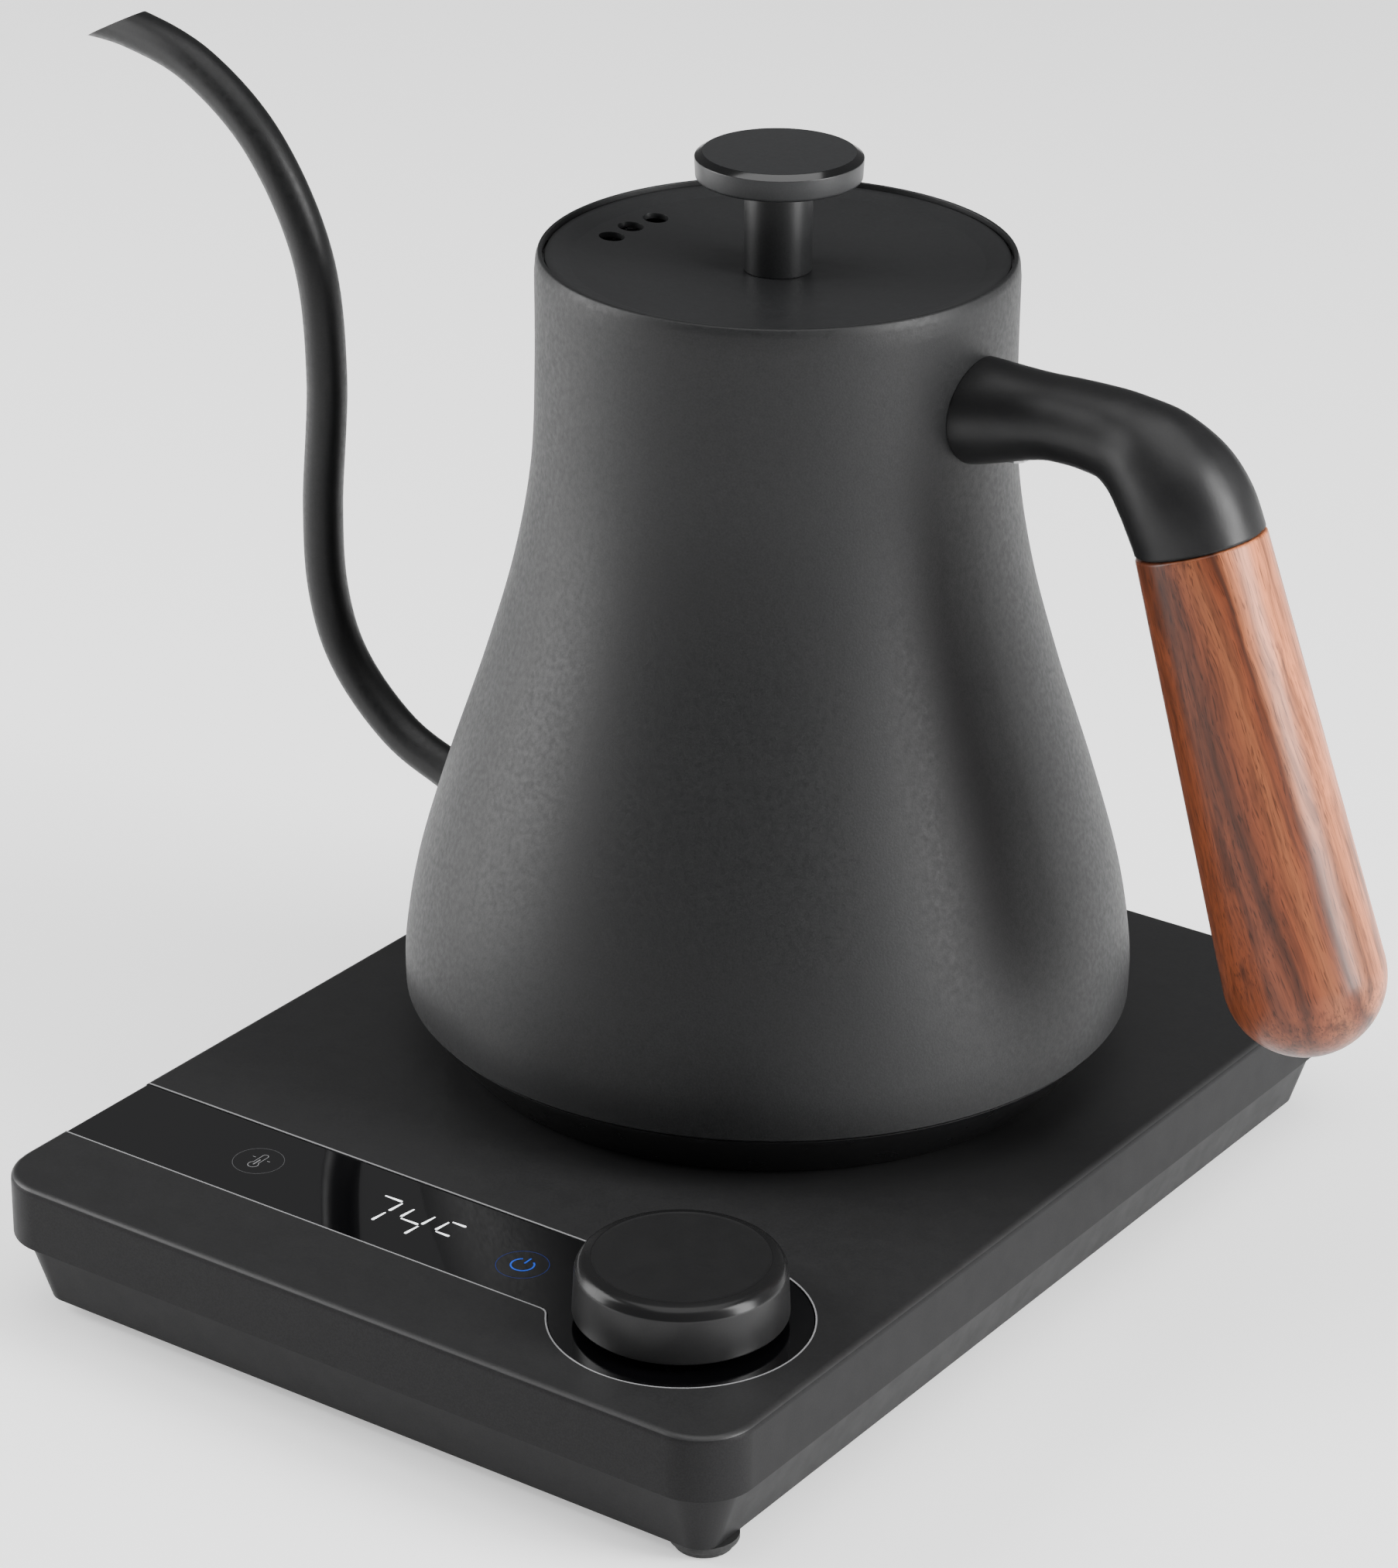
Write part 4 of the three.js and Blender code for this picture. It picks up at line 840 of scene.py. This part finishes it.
class KETTLE_OT_control_knob(bpy.types.Operator):
    """Build the turning knob with its glossy edge band"""

    bl_idname = "kettle.control_knob"
    bl_label = "Control Knob"

    def execute(self, context):
        sizes, tints = context.scene.kettle_controls, context.scene.kettle_tints
        radius = (KNOB_HIGH.x - KNOB_LOW.x) / 2
        low, high = KNOB_LOW.z, KNOB_HIGH.z
        band, wall = sizes.knob_bevel, radius - 0.45 * MM
        side, roof, top = high - 2.3 * MM, high - 2.6 * MM, high - 0.12 * MM
        profile = rounded([
            (0, roof), (radius - 2.4 * MM, roof), (radius - 2.2 * MM, low), (radius, low, 0.5),
            (wall, side, 0.4), (wall - 0.3 * band, high - 0.55 * MM, 1.5),
            (wall - band, high, 0.3), (wall - band - 0.45 * MM, top, 0.3), (0, top),
        ], 6)
        satin = moulded("knob_satin", shade(tints.shell, 0.7), 0.36)
        gloss = polished("knob_gloss", shade(tints.shell, 0.6), 0.22, Specular_IOR_Level=0.16)
        inner = wall - band - 0.05 * MM

        def edge_band(face):
            centre = face.calc_center_median()
            reach = (centre - KNOB_AXIS).xy.length
            return int(centre.z > side - 0.05 * MM and reach > inner)

        bm = turned(profile, KNOB_AXIS, 160)
        finishes = [satin, gloss]
        piece(bm, "knob_cap", "turn_knob", finishes, ["control_knob"], choose=edge_band)
        return {"FINISHED"}


class KETTLE_OT_connector(bpy.types.Operator):
    """Build the round connector that the kettle stands on"""

    bl_idname = "kettle.connector"
    bl_label = "Connector"

    def execute(self, context):
        black = moulded("connector_black", context.scene.kettle_tints.arm, 0.4)
        radius, top, low = SOCKET_RADIUS, SOCKET_HIGH.z, SOCKET_LOW.z
        pin, groove = top - 9 * MM, top - 6 * MM
        ledge, under, flange = BASE_TOP - 3.3 * MM, BASE_TOP - 7 * MM, radius + 6 * MM
        rings = []
        for start in (7.6 * MM, 12.2 * MM):
            end = start + 2.2 * MM
            rings += [(start, top, 0.3), (start, groove), (end, groove), (end, top, 0.3)]
        socket = turned(rounded([
            (0, pin), (3.2 * MM, pin), (3.2 * MM, top, 0.5), *rings, (radius, top, 1),
            (radius, ledge), (flange, ledge), (flange, under), (radius, under), (radius, low), (0, low),
        ], 4))
        piece(socket, "connector_socket", "power_base", [black], ["base_connector"])
        return {"FINISHED"}


class KETTLE_OT_body(bpy.types.Operator):
    """Build the kettle's body, its base ring and its inside"""

    bl_idname = "kettle.body"
    bl_label = "Kettle Body"

    def execute(self, context):
        sizes, tints = context.scene.kettle_body, context.scene.kettle_tints
        coat = powder_coat("charcoal_coat", tints.coat)
        steel = turned_steel("vessel_steel")
        outer = bell_profile(sizes, steps=10)
        neck, wall = sizes.neck, sizes.wall
        throat = neck - 1.5 * wall
        rim = rounded([
            (neck, RIM - 4 * MM), (neck - 0.25 * MM, RIM - 1.2 * MM, 1.0), (neck - 0.75 * MM, RIM, 0.5),
            (throat, RIM, 0.2), (throat, RIM - 1.4 * MM), (neck - wall, RIM - 2 * MM),
        ], 6)
        inner = [Vector((p.x - wall, p.y)) for p in reversed(outer)]
        lowest = [Vector((outer[0].x - 0.4 * MM, SEAM)), Vector((outer[0].x, SEAM + 0.4 * MM))]
        line = [*lowest, *outer[1:], *rim, *inner[1:]]
        bm = turned(line, steps=sizes.turns, closed=True)

        def inside(face):
            centre = face.calc_center_median()
            outward = (centre - AXIS).xy
            inward = face.normal.xy.dot(outward) < 0 and outward.length > FIT
            return int(inward and centre.z < RIM - 1.5 * MM)

        piece(bm, "kettle_body", "kettle", [coat, steel], ["body_shell"], choose=inside)

        black = moulded("ring_black", tints.arm, 0.3)
        top = (RING_HIGH.x - RING_LOW.x) / 2
        foot = top - 9.1 * MM
        lip = bell_radius(sizes, SEAM + 1 * MM) - wall - 2 * FIT
        seat, seam, inside_lip = RING_LOW.z, SEAM - FIT, lip - 1.6 * MM
        web = seat + 2.6 * MM
        ring = turned(rounded([
            (foot - 3 * MM, seat), (foot - 0.3 * MM, seat, 1.2), (top - 1.2 * MM, seam - 1.3 * MM, 2),
            (top - 0.3 * MM, seam, 0.4), (lip, seam), (lip, RING_HIGH.z), (inside_lip, RING_HIGH.z),
            (inside_lip, seam - 1.5 * MM), (foot - 1.2 * MM, web), (foot - 3 * MM, web),
        ], 6), steps=160, closed=True)
        piece(ring, "kettle_foot_ring", "kettle", [black], ["kettle_base_ring"])

        low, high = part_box("vessel_floor")
        edge = (high.x - low.x) / 2
        skirt, under, sunk = edge - 1.2 * MM, high.z - 1.2 * MM, high.z - 0.7 * MM
        bottom = turned(rounded([
            (0, under), (skirt, under), (skirt, low.z), (edge, low.z), (edge, high.z, 0.5),
            (edge - 5 * MM, high.z, 0.8), (edge - 7 * MM, sunk, 0.8), (0, sunk),
        ], 4))
        piece(bottom, "vessel_bottom", "kettle", [steel], ["vessel_floor"])

        low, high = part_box("neck_collar")
        reach = (high.x - low.x) / 2
        profile = rounded([
            (reach - 3 * MM, low.z, 0.4), (reach, low.z), (reach, high.z), (reach - 3 * MM, high.z, 0.8),
        ], 4)
        collar = turned(profile[1:] + profile[:1], closed=True)
        piece(collar, "neck_ring", "kettle", [steel], ["neck_collar"])

        low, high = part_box("kettle_bottom_cover")
        reach, hole, sleeve, web = (high.x - low.x) / 2, 19.5 * MM, 21.1 * MM, low.z + 1.6 * MM
        cover = turned(rounded([
            (hole, low.z, 0.4), (reach, low.z, 0.3), (reach, web), (sleeve, web),
            (sleeve, high.z), (hole, high.z),
        ], 3), closed=True)
        piece(cover, "kettle_underside", "kettle", [black], ["kettle_bottom_cover"])
        return {"FINISHED"}


class KETTLE_OT_spout(bpy.types.Operator):
    """Build the gooseneck spout with its slanted tip"""

    bl_idname = "kettle.spout"
    bl_label = "Gooseneck Spout"

    def execute(self, context):
        sizes, tints = context.scene.kettle_body, context.scene.kettle_tints
        root_z = SEAM + 19 * MM
        root = Vector((AXIS.x - bell_radius(sizes, root_z), AXIS.y, root_z))
        knots = [root + Vector((-SPOUT_REACH * out, 0, SPOUT_RISE * up)) for out, up in SPOUT_RUN]
        run = through(knots, 12)
        flare, fade, root_depth = 0.35, 6 * MM, 8 * MM
        past_root = [max((p - run[0]).length - root_depth, 0) for p in run]
        swell = [1 + flare * math.exp(-((far / fade) ** 2)) for far in past_root]
        outer = rod(run, [sizes.spout * s for s in swell], 40)
        lead = [run[0] + (run[0] - run[1]), *run, run[-1] + (run[-1] - run[-2])]
        bore = rod(lead, [sizes.bore] * len(lead), 32)
        lip = Vector((root.x - SPOUT_REACH, AXIS.y, root.z + SPOUT_RISE - sizes.spout))
        away = block((-30 * MM, -20 * MM, 0), (30 * MM, 20 * MM, 30 * MM))
        away.transform(Matrix.Translation(lip) @ Matrix.Rotation(math.radians(-27), 4, "Y"))
        bm = carve(outer, bore, away, bell_block(sizes, -0.5 * MM))
        # Darker copy of the body's powder coat for the spout: painted shade, the spout wearing the same coat
        # as the body.
        coat = powder_coat("spout_coat_painted_shade", shade(tints.coat, 0.62), 0.44)
        piece(bm, "gooseneck_spout", "kettle", [coat], ["spout"], crease=40)
        return {"FINISHED"}


class KETTLE_OT_handle(bpy.types.Operator):
    """Build the handle: moulded arm, joint washer and wooden grip"""

    bl_idname = "kettle.handle"
    bl_label = "Handle"

    def execute(self, context):
        scene = context.scene
        sizes, shell, tints = scene.kettle_handle, scene.kettle_body, scene.kettle_tints
        root, joint, lay = grip_place(sizes, shell.neck)
        along = Vector((math.sin(sizes.tilt), 0, -math.cos(sizes.tilt)))
        join = sizes.grip_top - 0.1 * MM
        stations = [
            (root + Vector((-8 * MM, 0, -1.0 * MM)), 10.4 * MM),
            *[(root + Vector((sizes.reach * out, 0, up * MM)), thick * MM) for out, up, thick in ARM_RUN],
            (joint, join), (joint + along * 4 * MM, join),
        ]
        run = through([(*place, radius) for place, radius in stations], 8)
        arm = rod([p[:3] for p in run], [p[3] for p in run], 64)
        past = block((-25 * MM, -25 * MM, 0), (25 * MM, 25 * MM, 12 * MM))
        past.transform(lay)
        arm = carve(arm, past, bell_block(shell, 0.12 * MM))
        rim = sharp(arm, math.radians(40), lambda e: (middle_of(e) - joint).dot(along) < -5 * MM)
        bevel(arm, rim, 1.1 * MM, 4)

        def at_joint(edge):
            return all(abs((v.co - joint).dot(along)) < 0.05 * MM for v in edge.verts)

        bevel(arm, sharp(arm, math.radians(60), at_joint), 0.25 * MM, 3)
        black = moulded("arm_black", tints.arm, 0.42, grain=1900, depth=0.05)
        piece(
            arm, "handle_neck", "kettle", [black], ["handle_arm"],
            crease=40, weighted=True,
        )

        radius, under, over = sizes.grip_top - 0.9 * MM, 0.05 * MM, 0.6 * MM
        washer = turned(rounded([
            (0, under), (radius, under, 0.1), (radius, over, 0.1), (0, over),
        ], 3), ORIGIN, 96)
        washer.transform(lay)
        piece(washer, "grip_spacer", "kettle", [matte_rubber("spacer_black")], ["grip_washer"])

        straight = sizes.grip - 15.4 * MM
        dome = [
            (sizes.grip_end * math.cos(a), straight + (sizes.grip - straight) * math.sin(a))
            for a in (math.pi / 2 * i / 20 for i in range(21))
        ]
        start = 0.65 * MM
        body = [
            (sizes.grip_top + (sizes.grip_end - sizes.grip_top) * t, start + (straight - start) * t)
            for t in (0.0, 0.1, 0.25, 0.5, 0.75, 0.9)
        ]
        body[0] = (*body[0], 0.6)
        grip = turned(rounded([(0, start), *body, *dome[:-1], (0, sizes.grip)], 5), ORIGIN)
        grip.transform(lay)
        wood = walnut("grip_walnut", tints, joint, sizes.tilt)
        piece(grip, "wooden_grip", "kettle", [wood], ["wood_grip"])
        return {"FINISHED"}


class KETTLE_OT_lid(bpy.types.Operator):
    """Build the lid with its steam holes, knob and inner cup"""

    bl_idname = "kettle.lid"
    bl_label = "Lid"

    def execute(self, context):
        sizes, tints = context.scene.kettle_lid, context.scene.kettle_tints
        reach, top = (PLATE_HIGH.x - PLATE_LOW.x) / 2, PLATE_HIGH.z
        band = reach - sizes.band
        thick, bowl = 1.1 * MM, 1.9 * MM

        def height(share):
            return top - sizes.dish + bowl * share**2

        dish = [(band * s, height(s)) for s in [i / 24 for i in range(24)]]
        under = [(r, z - thick) for r, z in reversed(dish)]
        profile = rounded([
            *dish, (band, height(1), 0.2), (reach - 1.2 * MM, top, 0.8), (reach, top, 0.3),
            (reach, top - thick), (band, height(1) - thick), *under,
        ], 5)
        plate = carve(turned(profile, steps=160), *steam_drills(sizes, 1, top - 9 * MM, top + 2 * MM, 40))

        def at_hole(edge):
            centre = middle_of(edge)
            off = abs((centre - AXIS).xy.length - sizes.steam_place)
            facing = any(face.normal.z > 0.9 for face in edge.link_faces)
            return facing and off < sizes.steam_hole + 0.3 * MM and centre.z > top - 2.2 * MM

        bevel(plate, sharp(plate, 1, at_hole), 0.45 * MM, 3)
        satin = moulded("lid_satin", shade(tints.coat, 1.5), 0.4, grain=2800, depth=0.03)
        piece(plate, "lid_top", "lid", [satin], ["lid_plate"], weighted=True)

        radius, low, high = (STEM_HIGH.x - STEM_LOW.x) / 2, STEM_LOW.z - 0.25 * MM, PULL_LOW.z
        stem = turned(rounded([
            (0, low), (radius, low, 0.3), (radius, high, 0.2), (0, high),
        ], 3), steps=96)
        piece(stem, "lid_post", "lid", [satin], ["lid_stem"])
        radius, low, high = (PULL_HIGH.x - PULL_LOW.x) / 2, PULL_LOW.z, PULL_HIGH.z
        inner, side = radius - sizes.chamfer, high - 0.95 * MM
        profile = rounded([
            (0, low), (radius - 0.2 * MM, low, 0.6), (radius, side, 0.15), (inner, high, 0.15),
            (0, high),
        ], 4)
        satin = moulded("pull_satin", shade(tints.coat, 2.1), 0.38, grain=2800, depth=0.03)
        gloss = polished("pull_gloss", shade(tints.coat, 0.5), 0.14)

        def edge_band(face):
            centre = face.calc_center_median()
            return int(centre.z > side + 0.02 * MM and (centre - AXIS).xy.length > inner)

        pull = turned(profile, steps=160)
        piece(pull, "lid_pull", "lid", [satin, gloss], ["lid_knob"], choose=edge_band)

        reach, low, high = (CUP_HIGH.x - CUP_LOW.x) / 2, CUP_LOW.z, CUP_HIGH.z
        bore, post, wall, floor = 2.3 * MM, 7 * MM, reach - 1.2 * MM, low + 1.2 * MM
        cup = turned(rounded([
            (bore, low), (reach, low, 0.8), (reach, high, 0.3), (wall, high, 0.3),
            (wall, floor), (post, floor), (post, high), (bore, high),
        ], 3), closed=True)
        cup = carve(cup, *steam_drills(sizes, 0.8, low - 2 * MM, low + 3 * MM, 32))
        black = moulded("cup_black", tints.arm, 0.5)
        piece(cup, "lid_inner_cup", "lid", [black], ["lid_cup"])

        low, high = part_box("lid_seal")
        reach = (high.x - low.x) / 2
        near, valley = reach - 2.5 * MM, reach - 0.9 * MM
        gasket = turned(rounded([
            (near, low.z), (valley, low.z, 0.2), (reach, low.z + 1 * MM, 0.3),
            (valley, low.z + 2 * MM, 0.3), (valley, high.z - 2 * MM, 0.3),
            (reach, high.z - 1 * MM, 0.3), (valley, high.z, 0.2), (near, high.z),
        ], 3), closed=True)
        silicone = matte_rubber("seal_silicone", (0.03, 0.03, 0.031))
        piece(gasket, "lid_gasket", "lid", [silicone], ["lid_seal"])
        return {"FINISHED"}


class KETTLE_OT_hidden_parts(bpy.types.Operator):
    """Give the carried-over inner pieces their finishes"""

    bl_idname = "kettle.hidden_parts"
    bl_label = "Inner Pieces"

    def execute(self, context):
        steel = turned_steel("plain_steel")
        brass = turned_steel("contact_brass", (0.62, 0.42, 0.14), 0.25)
        board = polished("board_green", (0.012, 0.075, 0.03), 0.3)
        case = moulded("part_case", (0.03, 0.032, 0.035), 0.45)
        finishes = {
            "steel": steel, "brass": brass, "circuit_board": board, "component": case,
            "aluminium": turned_steel("spreader_aluminium", (0.68, 0.69, 0.7), 0.38),
            "display_module": moulded("display_case", (0.5, 0.52, 0.54), 0.4),
            "black_plastic": moulded("inner_black", context.scene.kettle_tints.arm, 0.45),
            "rubber": matte_rubber("inner_rubber"),
        }
        slots = {part["node"]: part["material_slot"] for part in frame["record"]["subparts"]}
        for name, obj in frame["nodes"].items():
            if obj.hide_render:
                continue
            obj.data.materials.clear()
            obj.data.materials.append(finishes.get(slots[name], case))
        return {"FINISHED"}


# name, degrees from the camera's heading, height, distance, width and length in metres, watts
LAMPS = (
    ("softbox_left", -97, 0.35, 1.3, 0.8, 1.5, 42),
    ("softbox_right", 64, 0.40, 1.3, 0.5, 1.5, 56),
    ("softbox_far_right", 112, 0.40, 1.5, 0.7, 1.5, 2.5),
    ("overhead", 10, 2.3, 0.3, 2.4, 2.4, 60),
)


class KETTLE_OT_stage(bpy.types.Operator):
    """Set the camera, the pale floor and the soft studio light"""

    bl_idname = "kettle.stage"
    bl_label = "Stage"

    def lamp(self, azimuth, name, heading, height, distance, width, tall, watts):
        """Softbox aimed at the kettle; its heading is counted from the camera's."""
        target = AXIS + UP * 0.1
        turn = azimuth + math.radians(heading)
        place = target + Vector((math.sin(turn) * distance, -math.cos(turn) * distance, height))
        data = bpy.data.lights.new(name, "AREA")
        data.shape, data.size, data.size_y, data.energy = "RECTANGLE", width, tall, watts
        obj = bpy.data.objects.new(name, data)
        aim = (target - place).to_track_quat("-Z", "Y").to_matrix().to_4x4()
        obj.matrix_world = Matrix.Translation(place) @ aim
        bpy.context.scene.collection.objects.link(obj)

    def execute(self, context):
        stage = context.scene.kettle_stage
        az, el, roll = stage.azimuth, stage.elevation, stage.roll
        target = AXIS + Vector((-17.1, 0, 78.84)) * MM
        back = Vector((math.sin(az) * math.cos(el), -math.cos(az) * math.cos(el), math.sin(el)))
        right = Vector((math.cos(az), math.sin(az), 0))
        up = back.cross(right)
        across = right * math.cos(roll) + up * math.sin(roll)
        rise = up * math.cos(roll) - right * math.sin(roll)
        place = target + back * stage.distance
        view = Matrix((across, rise, back)).transposed().to_4x4()
        view.translation = place
        data = bpy.data.cameras.new("camera")
        data.lens, data.sensor_width, data.sensor_fit = stage.focal, 36.0, "AUTO"
        data.clip_start, data.clip_end = 0.05, 60.0
        camera = bpy.data.objects.new("camera", data)
        camera.matrix_world = view
        context.scene.collection.objects.link(camera)
        context.scene.camera = camera

        bm = bmesh.new()
        bmesh.ops.create_grid(bm, x_segments=4, y_segments=4, size=14)
        bmesh.ops.translate(bm, verts=bm.verts, vec=(0, 0, -0.02 * MM))
        floor = linked_object(bm, "studio_floor")
        pale = Finish("pale_floor", (0.88, 0.88, 0.88), 0.8, Specular_IOR_Level=0.1, Emission_Strength=0.45)
        pale.set("Emission Color", (1, 1, 1, 1))
        floor.data.materials.append(pale.material)

        for settings in LAMPS:
            self.lamp(az, *settings)
        world = bpy.data.worlds.new("studio")
        world.use_nodes = True
        shade = world.node_tree.nodes["Background"]
        shade.inputs["Color"].default_value = (0.17, 0.17, 0.172, 1)
        shade.inputs["Strength"].default_value = 1.0
        context.scene.world = world
        return {"FINISHED"}


OPERATORS = (
    KETTLE_OT_power_base, KETTLE_OT_control_strip, KETTLE_OT_control_knob, KETTLE_OT_connector,
    KETTLE_OT_body, KETTLE_OT_spout, KETTLE_OT_handle, KETTLE_OT_lid, KETTLE_OT_hidden_parts,
    KETTLE_OT_stage,
)
GROUPS = {
    "kettle_base": PowerBaseSizes, "kettle_controls": ControlSizes, "kettle_body": KettleSizes,
    "kettle_handle": HandleSizes, "kettle_lid": LidSizes, "kettle_tints": FinishColours,
    "kettle_stage": StageSettings,
}


class KETTLE_PT_panel(bpy.types.Panel):
    """Lists the kettle's pieces, sizes and colours"""

    bl_idname = "KETTLE_PT_panel"
    bl_label = "Gooseneck Kettle"
    bl_space_type = "VIEW_3D"
    bl_region_type = "UI"
    bl_category = "Kettle"

    def draw(self, context):
        for operator in OPERATORS:
            self.layout.operator(operator.bl_idname)
        for key, group in GROUPS.items():
            box = self.layout.box()
            for name in group.__annotations__:
                box.prop(getattr(context.scene, key), name)


def register():
    for kind in (*GROUPS.values(), *OPERATORS, KETTLE_PT_panel):
        bpy.utils.register_class(kind)
    for key, group in GROUPS.items():
        setattr(bpy.types.Scene, key, PointerProperty(type=group))


def unregister():
    for key in GROUPS:
        delattr(bpy.types.Scene, key)
    for kind in (KETTLE_PT_panel, *reversed(OPERATORS), *reversed(GROUPS.values())):
        bpy.utils.unregister_class(kind)


def main():
    register()
    for operator in OPERATORS:
        group, name = operator.bl_idname.split(".")
        getattr(getattr(bpy.ops, group), name)()


if __name__ == "__main__":
    main()
